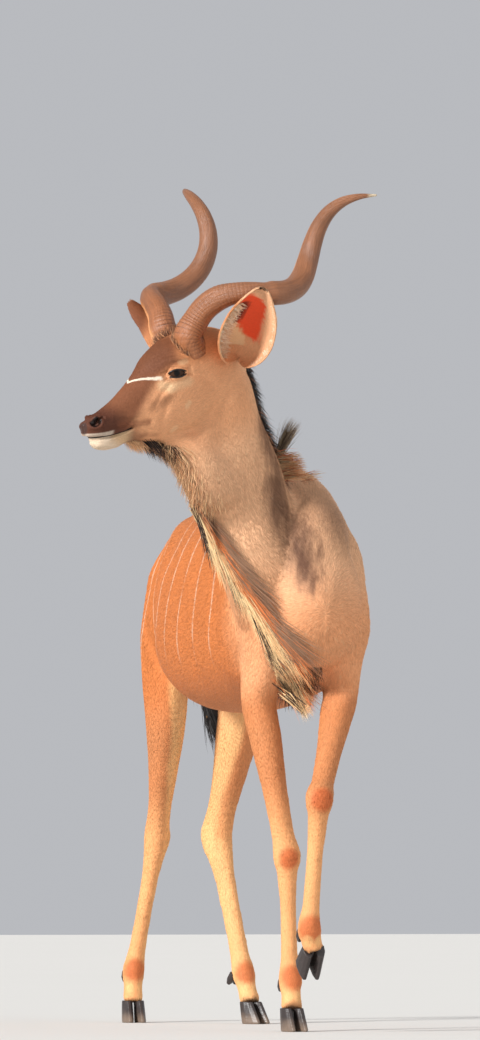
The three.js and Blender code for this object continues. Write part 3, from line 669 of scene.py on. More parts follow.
# Soft swells (+) and hollows (-) of the trunk and legs: place, reach and height
SWELLS = (
    ((0.135, -0.1, 0.965), 0.065, 0.012),
    ((0.13, -0.02, 1.12), 0.08, 0.010),
    ((0.085, -0.11, 1.13), 0.055, -0.018),
    ((0.035, -0.185, 1.0), 0.05, -0.010),
    ((-0.135, 0.06, 0.985), 0.08, 0.008),
    ((0.165, 0.11, 0.86), 0.06, 0.008),
    ((-0.165, 0.11, 0.86), 0.06, 0.008),
    ((0.16, 0.79, 0.98), 0.07, -0.014),
    ((-0.16, 0.79, 0.98), 0.07, -0.014),
    ((0.1, 0.78, 1.26), 0.05, 0.012),
    ((-0.1, 0.78, 1.26), 0.05, 0.012),
    ((0.13, 0.93, 1.02), 0.09, 0.010),
    ((-0.13, 0.93, 1.02), 0.09, 0.010),
    ((0.15, 0.66, 1.21), 0.07, -0.008),
    ((-0.15, 0.66, 1.21), 0.07, -0.008),
    ((-0.19, 0.74, 1.03), 0.2, -0.013),
    ((-0.15, 0.93, 1.08), 0.13, -0.014),
    ((0.17, -0.01, 1.03), 0.12, -0.009),
    ((-0.13, -0.06, 1.0), 0.05, 0.008),
    ((-0.09, -0.13, 0.93), 0.035, -0.008),
    ((-0.16, 0.16, 1.02), 0.06, -0.006),
)


def sculpt_body(piece):
    points = coordinates(piece.data)
    normals = vertex_normals(piece.data)
    lift = np.zeros(len(points))
    for place, reach, height in SWELLS:
        d = np.linalg.norm(points - place, axis=1)
        lift += height * np.exp(-((d / reach) ** 2))
    # The spine's low ridge
    x, y, z = points.T
    along_back = smoothstep(y, -0.05, 0.1) * (1 - smoothstep(y, 0.95, 1.05))
    lift += 0.006 * np.exp(-((x / 0.018) ** 2)) * along_back * smoothstep(z, 1.2, 1.28)
    set_coordinates(piece.data, points + normals * lift[:, None])


# Lines on the side of the face, as places ahead of the poll and heights: a groove is below 0
MOUTH_LINE = (
    (0.316, -0.046),
    (0.34, -0.049),
    (0.364, -0.046),
    (0.389, -0.041),
    (0.41, -0.032),
    (0.435, -0.024),
)
FACE_LINES = (
    (((0.372, -0.026), (0.345, -0.038), (0.322, -0.042)), 0.005, -0.0016),
    (((0.35, -0.012), (0.31, -0.032), (0.27, -0.05)), 0.007, -0.0018),
    (((0.2, -0.004), (0.25, -0.014), (0.31, -0.02)), 0.010, 0.0022),
    (((0.245, -0.1), (0.24, -0.06), (0.215, -0.025)), 0.009, -0.0022),
    (((0.14, 0.018), (0.11, 0.0), (0.09, -0.03)), 0.012, -0.0024),
    (((0.2, 0.012), (0.225, -0.002), (0.245, -0.018)), 0.006, -0.0022),
    (((0.318, -0.048), (0.305, -0.056), (0.3, -0.066)), 0.005, -0.0022),
    (((0.1, -0.09), (0.15, -0.112), (0.2, -0.112)), 0.010, -0.0018),
)
NOSTRIL_PIT = (0.402, 0.001)
NOSTRIL_SLIT = ((0.4, 0.004), (0.388, 0.009), (0.379, 0.006))
NOSTRIL_ENDS = ((0.405, 0.022, -0.001), (0.396, 0.026, 0.004))


def refine(piece, near, cuts=1):
    """Cuts the faces near the given head places finer."""
    mesh = bmesh.new()
    mesh.from_mesh(piece.data)
    co = np.array([v.co for v in mesh.verts]) - ORIGIN
    chosen = near(to_head(co))
    edges = [e for e in mesh.edges if chosen[e.verts[0].index] and chosen[e.verts[1].index]]
    bmesh.ops.subdivide_edges(mesh, edges=edges, cuts=cuts, use_grid_fill=True)
    mesh.to_mesh(piece.data)
    mesh.free()


def detailed_places(p):
    """The muzzle and the rims of the eyes, where the face has its finest forms."""
    eyes = np.abs(p[:, 1]) > 0.035
    eyes &= np.hypot(p[:, 0] - EYE_AT[0], p[:, 2] - EYE_AT[2]) < 0.044
    return (p[:, 0] > 0.3) | eyes


# The lids' bulge over and under the line between the eye's corners
LID_TOP = 0.0195
LID_BOTTOM = -0.0175


def eye_place(side):
    """The middle of an eye, and its axes as rows: ahead, up and out."""
    return in_head(EYE_AT * (1, side, 1)), head_axes(EYE_OUT * (1, side, 1))


def almond(side):
    """The lid opening's outline in the eye's own plane, x ahead and y up."""
    ahead = np.array((0.0275, -0.009)), np.array((-0.025, 0.002))
    upper, lower = np.array((0.003, LID_TOP)), np.array((0.002, LID_BOTTOM))
    t = np.linspace(0, 1, 25)[:, None]
    top = (1 - t) ** 2 * ahead[0] + 2 * t * (1 - t) * upper + t**2 * ahead[1]
    bottom = (1 - t) ** 2 * ahead[1] + 2 * t * (1 - t) * lower + t**2 * ahead[0]
    outline = np.vstack((top, bottom[1:-1]))
    return outline * (side, 1)


def inside_almond(x, y):
    """How far inside the lid opening a place is, where x is ahead; below 0 it is outside."""
    t = np.clip((0.0275 - x) / 0.0525, 0, 1)
    bend = 2 * t * (1 - t)
    top = -0.009 * (1 - t) ** 2 + LID_TOP * bend + 0.002 * t**2
    bottom = -0.009 * (1 - t) ** 2 + LID_BOTTOM * bend + 0.002 * t**2
    ends = np.minimum(0.0275 - x, x + 0.025)
    return np.minimum(np.minimum(top - y, y - bottom), ends)


def sculpt_head(piece):
    """Mouth, nostrils, folds and lids, moved in the skin itself."""
    points = coordinates(piece.data)
    normals = vertex_normals(piece.data)
    p = to_head(points)
    a, b, h = p.T
    sideways = smoothstep(np.abs(normals @ HEAD[:, 1]), 0.15, 0.5)
    flat = np.stack((a, h), axis=1)
    on_head = smoothstep(a, -0.02, 0.03)
    lift = np.zeros(len(points))
    for line, width, height in FACE_LINES:
        lift += height * np.exp(-((to_line(flat, line) / width) ** 2)) * sideways * on_head
    # Lips round the line of the mouth, which runs on across the front of the muzzle
    mouth = to_line(flat, MOUTH_LINE)
    front = smoothstep(a, 0.30, 0.318)
    full = np.exp(-(((mouth - 0.0065) / 0.0045) ** 2)) * 0.0016
    lift += front * (full - 0.0055 * np.exp(-((mouth / 0.0026) ** 2)))
    # A shallow furrow under the nose, down the middle of the upper lip
    furrow = np.exp(-((b / 0.0022) ** 2)) * smoothstep(a, 0.405, 0.415) * smoothstep(h, -0.04, -0.03)
    lift -= 0.0018 * furrow
    # Comma nostrils with a raised rim
    pit = np.hypot(a - NOSTRIL_PIT[0], (h - NOSTRIL_PIT[1]) / 0.75)
    slit = to_line(flat, NOSTRIL_SLIT)
    hole = np.maximum(1 - pit / 0.0125, 1 - slit / 0.0042)
    wing = np.exp(-(((pit - 0.0155) / 0.005) ** 2)) * 0.003
    side_only = smoothstep(np.abs(b), 0.008, 0.016)
    lift += side_only * (wing - 0.014 * smoothstep(hole, 0.0, 0.6))
    points = points + normals * lift[:, None]
    for _, side in SIDES:
        points = set_lids(points, side)
    set_coordinates(piece.data, points)


def set_lids(points, side):
    """Draws the skin over the eyeball and sinks it behind the eye within the opening."""
    centre, axes = eye_place(side)
    local = (points - centre) @ axes.T
    x, y, z = local.T
    reach = np.linalg.norm(local, axis=1)
    near = (reach < 0.046) & (z > 0)
    inside = inside_almond(x * side, y)
    lid = EYE_RADIUS + 0.0032 - 0.0012 * smoothstep(inside, -0.006, 0)
    crease = np.exp(-(((inside + 0.009) / 0.0022) ** 2)) * smoothstep(y, -0.002, 0.004) * 0.0015
    wanted = np.maximum(reach, lid) - crease
    wanted = np.where(inside > -0.012, mix(wanted, lid - crease, 0.8), wanted)
    wanted = np.where(inside > 0, EYE_RADIUS - 0.004, wanted)
    scale = np.where(near, wanted / np.maximum(reach, 1e-6), 1)
    return centre + (local * scale[:, None]) @ axes


def lid_rims(side):
    """The dark moist rim of both lids: a tube along the almond on the eyeball."""
    centre, axes = eye_place(side)
    outline = almond(side)
    radius = EYE_RADIUS + 0.0014
    depth = np.sqrt(np.maximum(radius**2 - (outline**2).sum(1), 0.0004**2))
    ring = np.column_stack((outline, depth))
    ring[:, :2] *= 1.02
    way = unit(np.roll(ring, -1, 0) - np.roll(ring, 1, 0))
    out = unit(ring)
    across = np.cross(way, out)
    angle = np.linspace(0, 2 * math.pi, 10, endpoint=False)
    tube = ring[:, None] + 0.002 * (
        np.cos(angle)[None, :, None] * out[:, None] + np.sin(angle)[None, :, None] * across[:, None]
    )
    points = (centre + tube.reshape(-1, 3) @ axes).reshape(tube.shape)
    rows, sides = tube.shape[:2]
    rim = new_object("lid rim", points.reshape(-1, 3), ring_faces(rows, sides, rows))
    outwards(rim)
    return rim


def smooth_seam(piece, near, iterations):
    """Smooths the skin where near gives a weight."""
    group = piece.vertex_groups.new(name="seam")
    weights = near(coordinates(piece.data))
    for index in np.nonzero(weights > 0.02)[0]:
        group.add([int(index)], float(min(weights[index], 1)), "REPLACE")
    apply(piece, "SMOOTH", factor=0.5, iterations=iterations, vertex_group="seam")
    piece.vertex_groups.clear()


def united(first, second):
    apply(first, "BOOLEAN", operation="UNION", solver="MANIFOLD", object=second)
    bpy.data.objects.remove(second)


def throat_seam(points):
    """Where the back of the head meets the neck."""
    p = to_head(points)
    d = np.abs((points - (-0.262, -0.2, 1.5)) @ unit((0.1, 0.2, 1.0)))
    return (1 - smoothstep(d, 0.07, 0.13)) * (1 - smoothstep(p[:, 0], 0.02, 0.07))


JAW_ANGLE = np.array((0.132, 0.018, -0.124))


def throat_sides(points):
    """Both sides of the throat, from the angle of the jaw down to the neck's middle."""
    p = to_head(points)
    d = to_line(points, THROAT.centres[2:])
    weight = (1 - smoothstep(d, 0.085, 0.12)) * (1 - smoothstep(p[:, 2], -0.135, -0.1))
    corner = np.linalg.norm(np.abs(p) - np.abs(JAW_ANGLE), axis=1)
    return np.maximum(weight, (1 - smoothstep(corner, 0.025, 0.05)) * (p[:, 2] < 0))


def ear_roots(points):
    weight = np.zeros(len(points))
    for root, along, _ in EARS.values():
        d = np.linalg.norm(points - in_head(np.array(root) + 0.1 * np.array(along)), axis=1)
        weight = np.maximum(weight, 1 - smoothstep(d, 0.03, 0.05))
    return weight


def make_skin(settings):
    head = head_skin(settings.face_depth)
    refine(head, detailed_places)
    for name, _ in SIDES:
        united(head, ear_skin(name))
    smooth_seam(head, ear_roots, 4)
    body = body_skin(settings.coat_depth)
    sculpt_body(body)
    united(head, body)
    smooth_seam(head, throat_seam, 14)
    smooth_seam(head, throat_sides, 160)
    sculpt_head(head)
    head.name = head.data.name = "skin"
    return head


# Blades of hair


PARTS = ("torso", "neck", "skull", "tail", *LEGS, "ear_left", "ear_right")
# Each part's place on the coat's own map: left, bottom, width and height
MAP_CELLS = {
    "torso": (0.01, 0.01, 0.48, 0.43),
    "neck": (0.51, 0.01, 0.28, 0.28),
    "skull": (0.51, 0.31, 0.28, 0.3),
    "tail": (0.81, 0.01, 0.18, 0.28),
    "fore_right": (0.01, 0.46, 0.11, 0.53),
    "fore_left": (0.135, 0.46, 0.11, 0.53),
    "hind_right": (0.26, 0.46, 0.11, 0.53),
    "hind_left": (0.385, 0.46, 0.11, 0.53),
    "ear_left": (0.51, 0.63, 0.22, 0.35),
    "ear_right": (0.75, 0.63, 0.22, 0.35),
}


def ear_shares(t, across):
    """Bare red skin, cream hair and deep shade inside an ear; across is -1 at its front edge."""
    bare = smoothstep(across + 1.75 * (t - 0.35), -0.25, 0.15) * (1 - smoothstep(across, 0.15, 0.6))
    bare = bare * smoothstep(t, 0.18, 0.36) * (1 - smoothstep(t + 0.1 * across, 0.78, 0.92))
    pale = (1 - smoothstep(across + 1.4 * (t - 0.35), -0.4, 0.1)) * smoothstep(t, 0.1, 0.2)
    pale = pale * (1 - smoothstep(t, 0.55, 0.72))
    shade = smoothstep(across, -0.95, -0.65) * (1 - smoothstep(across, -0.4, 0.0))
    shade = shade * smoothstep(t, 0.42, 0.54) * (1 - smoothstep(t, 0.72, 0.84))
    return np.stack(np.broadcast_arrays(bare, pale, shade), -1)


class Lie:
    """Which part of the body a place is on, how the hair lies there, and its place on the map."""

    def __init__(self):
        rows = []
        for part in PARTS:
            rows.append(self.sampled(part))
        self.points = np.vstack([r[0] for r in rows])
        self.ways = np.vstack([r[1] for r in rows])
        self.uv = np.vstack([r[2] for r in rows])
        self.core = np.vstack([r[3] for r in rows])
        self.share = np.vstack([r[4] for r in rows])
        self.part = np.concatenate([np.full(len(r[0]), i) for i, r in enumerate(rows)])
        self.tree = KDTree(len(self.points))
        for i, p in enumerate(self.points):
            self.tree.insert(p, i)
        self.tree.balance()

    @staticmethod
    def sampled(part):
        x, y, w, h = MAP_CELLS[part]
        if part.startswith("ear"):
            t, v = np.meshgrid(np.linspace(0.02, 1, 30), np.linspace(-1, 1, 24), indexing="ij")
            points = ear_points(part[4:], t, v, 0.002)
            ways = ear_points(part[4:], t + 0.01, v, 0.002) - points
            uv = np.stack((x + w * (v + 1) / 2, y + h * t), -1)
            core = ear_points(part[4:], t, v * 0.0, 0.03)
            share = ear_shares(t, v * dict(SIDES)[part[4:]])
            rows = points, unit(ways), uv, core, share
            return [row.reshape(-1, row.shape[-1]) for row in rows]
        loft = {"torso": TORSO, "neck": NECK, "skull": SKULL, "tail": TAIL, **LEGS}[part]
        rows, sides = (70, 48) if part in ("torso", "skull") else (60, 32)
        t = np.linspace(0, 1, rows + 1)[:, None]
        angle = np.linspace(0, 2 * math.pi, sides, endpoint=False)[None, :]
        points = loft.points(t, angle)
        ways = loft.points(np.minimum(t + 0.01, 1), angle) - loft.points(np.maximum(t - 0.01, 0), angle)
        ways = unit(ways)
        if part in ("neck", "skull"):
            ways = -ways
        if part == "torso":
            ways = unit(ways + (0, 0, -0.45))
        t, angle = np.broadcast_arrays(t, angle)
        uv = np.stack((x + w * angle / (2 * math.pi), y + h * t), -1)
        points, ways, uv = points.reshape(-1, 3), ways.reshape(-1, 3), uv.reshape(-1, 2)
        return points, ways, uv, np.zeros_like(points), np.zeros_like(points)

    def find(self, points):
        """Part numbers, lie directions and map places of the skin at the given points."""
        near = [[hit[1] for hit in self.tree.find_n(p, 4)] for p in points]
        near = np.array(near)
        return self.part[near[:, 0]], unit(self.ways[near].sum(1)), self.uv[near[:, 0]]

    def inside_ear(self, points, normals):
        """How bare, how pale and how shaded each place inside an ear's cup is, from 0 to 1."""
        near = np.array([self.tree.find(p)[1] for p in points])
        way = self.core[near] - points
        return self.share[near] * ((way * normals).sum(1) > 0.001)[:, None]


def set_map(mesh, uv, verts_per_blade, generator):
    """Each blade is a patch about 3 mm across at its root's place on the coat's map."""
    loops = np.empty(len(mesh.loops), np.int32)
    mesh.loops.foreach_get("vertex_index", loops)
    blade = loops // verts_per_blade
    spot = loops % verts_per_blade
    angle = spot * 2.4
    radius = 0.0015 * np.sqrt((spot + 0.5) / verts_per_blade)
    jitter = generator.uniform(-0.004, 0.004, (len(uv), 2))
    place = np.clip(uv + jitter, 0.002, 0.998)[blade]
    place = place + np.stack((radius * np.cos(angle), radius * np.sin(angle)), -1)
    layer = mesh.uv_layers.new(name="OFBake")
    layer.data.foreach_set("uv", place.astype(np.float32).ravel())


def blades(name, paths, widths, outs, colours, uv, generator, thickness=0.4, own_shape=1.0):
    """Tapered three-sided blades along paths (blades, steps, 3), flat to their out direction.

    Where own_shape is small they take the light as the skin under them does."""
    count, steps, _ = paths.shape
    along = unit(np.gradient(paths, axis=1))
    across = unit(np.cross(along, outs[:, None, :]))
    out = np.cross(across, along)
    half = widths[:, :-1, None] / 2
    low = paths[:, :-1] - out[:, :-1] * half * thickness
    rings = np.stack(
        (
            low + across[:, :-1] * half,
            low - across[:, :-1] * half,
            paths[:, :-1] + out[:, :-1] * half * thickness * 1.2,
        ),
        axis=2,
    )
    per = 3 * (steps - 1) + 1
    points = np.concatenate((rings.reshape(count, -1, 3), paths[:, -1:]), axis=1)
    faces = [(0, 2, 1)]
    for i in range(steps - 2):
        for k in range(3):
            n = (k + 1) % 3
            a, b = 3 * i + k, 3 * i + n
            faces += [(a, b, a + 3), (b, b + 3, a + 3)]
    last = 3 * (steps - 2)
    faces += [(last + k, last + (k + 1) % 3, per - 1) for k in range(3)]
    faces = np.array(faces)
    every = (np.arange(count)[:, None, None] * per + faces[None]).reshape(-1, 3)
    mesh = bpy.data.meshes.new(name)
    mesh.vertices.add(count * per)
    mesh.vertices.foreach_set("co", (points.reshape(-1, 3) + ORIGIN).ravel())
    mesh.loops.add(every.size)
    mesh.loops.foreach_set("vertex_index", every.ravel().astype(np.int32))
    mesh.polygons.add(len(every))
    mesh.polygons.foreach_set("loop_start", np.arange(0, every.size, 3, dtype=np.int32))
    mesh.update(calc_edges=True)
    strand = mesh.attributes.new("strand", "FLOAT_COLOR", "POINT")
    tone = np.repeat(np.column_stack((colours, np.ones(count))), per, axis=0)
    strand.data.foreach_set("color", tone.astype(np.float32).ravel())
    tip = np.append(np.repeat(np.arange(steps - 1) / (steps - 1), 3), 1.0)
    store(mesh, "tip", np.tile(tip, count))
    set_map(mesh, uv, per, generator)
    if own_shape < 1:
        leaning = vertex_normals(mesh) * own_shape + np.repeat(outs, per, axis=0)
        mesh.normals_split_custom_set_from_vertices(unit(leaning).tolist())
    piece = bpy.data.objects.new(name, mesh)
    bpy.context.scene.collection.objects.link(piece)
    return piece


def taper(count, steps, width, generator, spread=0.25, root=0.55):
    """Widths along each blade: narrower at the root, widest a third of the way, thin at the tip."""
    t = np.linspace(0, 1, steps)
    shape = np.interp(t, (0, 0.3, 0.75, 1), (root, 1, 0.55, 0.06))
    return width * shape[None, :] * (1 + spread * generator.standard_normal((count, 1))).clip(0.5, 1.7)


class Surface:
    """The skin's triangles, for scattering roots and for laying hair on."""

    def __init__(self, piece):
        mesh = piece.data
        mesh.calc_loop_triangles()
        corners = np.empty(len(mesh.loop_triangles) * 3, np.int32)
        mesh.loop_triangles.foreach_get("vertices", corners)
        self.corners = corners.reshape(-1, 3)
        self.points = coordinates(mesh)
        self.normals = vertex_normals(mesh)
        a, b, c = (self.points[self.corners[:, k]] for k in range(3))
        self.areas = np.linalg.norm(np.cross(b - a, c - a), axis=1) / 2
        self.centres = (a + b + c) / 3
        self.bvh = BVHTree.FromPolygons(self.points.tolist(), self.corners.tolist())

    def scatter(self, density, generator):
        """Roots and normals, where density is a number of roots a square metre on each triangle."""
        wanted = self.areas * density
        count = int(wanted.sum())
        which = np.searchsorted(np.cumsum(wanted), (np.arange(count) + generator.random(count)))
        which = np.minimum(which, len(wanted) - 1)
        u, v = generator.random((2, count))
        flip = u + v > 1
        u, v = np.where(flip, 1 - u, u)[:, None], np.where(flip, 1 - v, v)[:, None]
        a, b, c = self.corners[which].T
        roots = self.points[a] * (1 - u - v) + self.points[b] * u + self.points[c] * v
        out = self.normals[a] * (1 - u - v) + self.normals[b] * u + self.normals[c] * v
        return roots, unit(out)

    def push_out(self, points, clearance):
        """Moves points that lie in or too near the skin out to the clearance."""
        moved = points.copy()
        for i, p in enumerate(points):
            hit, normal, _, _ = self.bvh.find_nearest(Vector(p))
            depth = (Vector(p) - hit).dot(normal)
            if depth < clearance:
                moved[i] = np.array(hit + normal * clearance)
        return moved


# The photo's view: from the front, a little to the animal's right. A pixel is PIXEL metres wide,
# and the sizes' own origin is at ORIGIN_PIXEL.
VIEW_TURN = math.radians(16.0)
VIEW_DISTANCE = 16
VIEW_HEIGHT = 0.35
PIXEL = 0.00241
PHOTO_SIZE = (480, 1040)
PHOTO_MIDDLE = (240, 520)
ORIGIN_PIXEL = (299, 1030)
RIGHT = np.array((math.cos(VIEW_TURN), -math.sin(VIEW_TURN), 0))
AHEAD = np.array((math.sin(VIEW_TURN), math.cos(VIEW_TURN), 0))


# Length, width, roots a square metre and lift of the short coat on each part
SHORT_COAT = {
    "torso": (0.014, 0.0019, 66000, 0.13),
    "neck": (0.017, 0.0019, 78000, 0.14),
    "skull": (0.0075, 0.0013, 145000, 0.13),
    "tail": (0.02, 0.002, 60000, 0.15),
    "leg": (0.0105, 0.002, 68000, 0.11),
    "ear": (0.008, 0.0014, 80000, 0.15),
}


def coat_kind(part):
    name = PARTS[part]
    return "leg" if name in LEGS else "ear" if name.startswith("ear") else name


def bare_places(points):
    """Nose pad, lips, nostrils and eyes carry no fur."""
    p = to_head(points)
    a, b, h = p.T
    flat = np.stack((a, h), axis=1)
    nose = (a > 0.402) & (h > -0.034)
    lips = (a > 0.31) & (to_line(flat, MOUTH_LINE) < 0.004)
    nostril = (np.hypot(a - NOSTRIL_PIT[0], h - NOSTRIL_PIT[1]) < 0.012) & (np.abs(b) > 0.014)
    eye = np.zeros(len(points), bool)
    for _, side in SIDES:
        centre, axes = eye_place(side)
        local = (points - centre) @ axes.T
        close = (np.linalg.norm(local, axis=1) < 0.034) & (local[:, 2] > 0)
        eye |= close & (inside_almond(local[:, 0] * side, local[:, 1]) > -0.003)
    return nose | lips | nostril | eye


def short_coat(surface, lie, seed):
    """The short coat, as several pieces of evenly shared blades."""
    generator = np.random.default_rng(seed)
    kinds = surface.part_of_triangle
    density = np.array([SHORT_COAT[coat_kind(i)][2] for i in range(len(PARTS))])[kinds]
    roots, normals = surface.scatter(density.astype(float), generator)
    keep = ~bare_places(roots) & (lie.inside_ear(roots, normals).max(1) < 0.3)
    roots, normals = roots[keep], normals[keep]
    part, way, uv = lie.find(roots)
    rows = np.array([SHORT_COAT[coat_kind(i)] for i in range(len(PARTS))])[part]
    length, width, lift = rows[:, 0], rows[:, 1], rows[:, 3]
    from_face = np.linalg.norm(to_head(roots) - (0.12, 0, 0), axis=1)
    length = length * np.where(part == 1, 0.45 + 0.55 * smoothstep(from_face, 0.17, 0.34), 1)
    length = length * coat_length(roots) * generator.uniform(0.75, 1.25, len(roots))
    way = unit(way + generator.normal(0, 0.16, way.shape))
    way = unit(way - normals * (way * normals).sum(1, keepdims=True))
    lift = lift * generator.uniform(0.5, 1.5, len(roots))
    paths = np.stack(
        [
            roots + way * (length * s)[:, None] + normals * (length * lift * r)[:, None]
            for s, r in ((-0.08, -0.05), (1.0, 0.85))
        ],
        axis=1,
    )
    widths = width[:, None] * np.array((1.0, 0.05)) * generator.uniform(0.7, 1.3, (len(roots), 1))
    own = generator.uniform(0, 1, (len(roots), 1)) * np.ones(3)
    order = np.argsort(roots[:, 1] + 2 * (part >= 4), kind="stable")
    pieces = []
    for number, chosen in enumerate(np.array_split(order, math.ceil(len(order) / COAT_SHARE))):
        name = "coat_%d" % (number + 1)
        pieces.append(
            blades(
                name,
                paths[chosen],
                widths[chosen],
                normals[chosen],
                own[chosen],
                uv[chosen],
                generator,
                own_shape=0.6,
            )
        )
    return pieces


# Blades in each piece of the short coat
COAT_SHARE = 40000


def coat_length(points):
    """The short coat is longest on the withers and shortest on the muzzle and the feet."""
    p = to_head(points)
    x, y, z = points.T
    muzzle = smoothstep(p[:, 0], 0.12, 0.36)
    low = 1 - smoothstep(z, 0.1, 0.7)
    back = smoothstep(z, 1.25, 1.33) * (1 - smoothstep(y, 0.1, 0.4)) * (p[:, 0] < -0.08)
    return (1 - 0.35 * muzzle * (p[:, 2] < 0.2)) * (1 - 0.3 * low) * (1 + 0.5 * back)


# Colours and shaders


def tone(red, green, blue):
    """A colour picked on a screen, 0 to 255, as the linear numbers that shaders take."""
    values = np.array((red, green, blue)) / 255
    linear = np.where(values <= 0.04045, values / 12.92, ((values + 0.055) / 1.055) ** 2.4)
    return tuple(float(v) for v in linear)


class Wire:
    """A shader socket whose arithmetic adds Math nodes."""

    def __init__(self, shader, socket):
        self.shader, self.socket = shader, socket

    def math(self, operation, *others):
        values = dict(enumerate((self,) + others))
        return self.shader.node("Math", {"operation": operation}, values)

    __add__ = __radd__ = partialmethod(math, "ADD")
    __mul__ = __rmul__ = partialmethod(math, "MULTIPLY")
    __sub__ = partialmethod(math, "SUBTRACT")
    __truediv__ = partialmethod(math, "DIVIDE")
    __abs__ = partialmethod(math, "ABSOLUTE")
    least = partialmethod(math, "MINIMUM")
    most = partialmethod(math, "MAXIMUM")

    def __rsub__(self, other):
        return self.shader.node("Math", {"operation": "SUBTRACT"}, {0: other, 1: self})

    def rise(self, low, high):
        """0 up to low and 1 from high on, or the other way round."""
        settings = {"interpolation_type": "SMOOTHSTEP"}
        return self.shader.node("MapRange", settings, {0: self, 1: low, 2: high})


class Shader:
    """A material, built from expressions on its sockets."""

    def __init__(self, name):
        self.material = bpy.data.materials.new(name)
        self.material.use_nodes = True
        self.tree = self.material.node_tree
        self.tree.nodes.clear()

    def node(self, kind, settings, inputs, output=0):
        node = self.tree.nodes.new("ShaderNode" + kind)
        for key, value in settings.items():
            setattr(node, key, value)
        for key, value in inputs.items():
            if isinstance(value, Wire):
                self.tree.links.new(value.socket, node.inputs[key])
            else:
                node.inputs[key].default_value = value
        return None if output is None else Wire(self, node.outputs[output])

    def place(self, origin=(0, 0, 0)):
        """Object coordinates from a point of the sizes' own frame."""
        here = self.node("TexCoord", {}, {}, "Object")
        start = tuple(ORIGIN + np.array(origin))
        return self.node("VectorMath", {"operation": "SUBTRACT"}, {0: here, 1: start})

    def attribute(self, name, output="Fac"):
        return self.node("Attribute", {"attribute_name": name}, {}, output)

    def along(self, vector, axis):
        inputs = {0: vector, 1: tuple(float(v) for v in axis)}
        return self.node("VectorMath", {"operation": "DOT_PRODUCT"}, inputs, "Value")

    def away(self, vector, point):
        """Distance from a point."""
        inputs = {0: vector, 1: tuple(float(v) for v in point)}
        return self.node("VectorMath", {"operation": "DISTANCE"}, inputs, "Value")

    def away_from_line(self, vector, start, end):
        """Distance from the straight line between two points."""
        start, way = np.asarray(start, float), np.asarray(end, float) - start
        first = self.node("VectorMath", {"operation": "SUBTRACT"}, {0: vector, 1: tuple(start)})
        share = self.along(first, way / (way @ way)).most(0.0).least(1.0)
        inputs = {0: share, 1: tuple(way), 2: tuple(start)}
        foot = self.node("VectorMath", {"operation": "MULTIPLY_ADD"}, inputs)
        return self.node("VectorMath", {"operation": "DISTANCE"}, {0: vector, 1: foot}, "Value")

    def noise(self, vector, scale, detail=3.0, rough=0.5, stretch=(1, 1, 1)):
        """Cloudy noise from 0 to 1, drawn out where stretch is small."""
        if stretch != (1, 1, 1):
            vector = self.node("Mapping", {}, {"Vector": vector, "Scale": stretch})
        inputs = {"Vector": vector, "Scale": scale, "Detail": detail, "Roughness": rough}
        return self.node("TexNoise", {}, inputs)

    def blend(self, below, above, share):
        """One colour over another."""
        inputs = {0: share, 6: below, 7: above}
        for key in (6, 7):
            if not isinstance(inputs[key], Wire):
                inputs[key] = (*inputs[key], 1.0)
        settings = {"data_type": "RGBA", "clamp_factor": True}
        return self.node("Mix", settings, inputs, 2)

    def shade(self, colour, value):
        """A colour made lighter or darker by a number."""
        inputs = {0: colour, 3: value}
        return self.node("VectorMath", {"operation": "SCALE"}, inputs)

    def bump(self, height, distance, strength=1.0):
        inputs = {"Height": height, "Distance": distance, "Strength": strength}
        return self.node("Bump", {}, inputs)

    def finish(self, colour, roughness, normal=None, **sockets):
        inputs = {"Base Color": colour, "Roughness": roughness}
        if not isinstance(colour, Wire):
            inputs["Base Color"] = (*colour, 1.0)
        if normal is not None:
            inputs["Normal"] = normal
        for key, value in sockets.items():
            inputs[key.replace("_", " ")] = value
        surface = self.node("BsdfPrincipled", {}, inputs)
        self.node("OutputMaterial", {}, {"Surface": surface}, None)
        return self.material


class Layers:
    """Colours painted over one another, each a shader colour or a name in the palette."""

    def __init__(self, shader, palette, first):
        self.shader, self.palette, self.top = shader, palette, palette[first]

    def paint(self, colour, share):
        above = self.palette[colour] if isinstance(colour, str) else colour
        self.top = self.shader.blend(self.top, above, share)


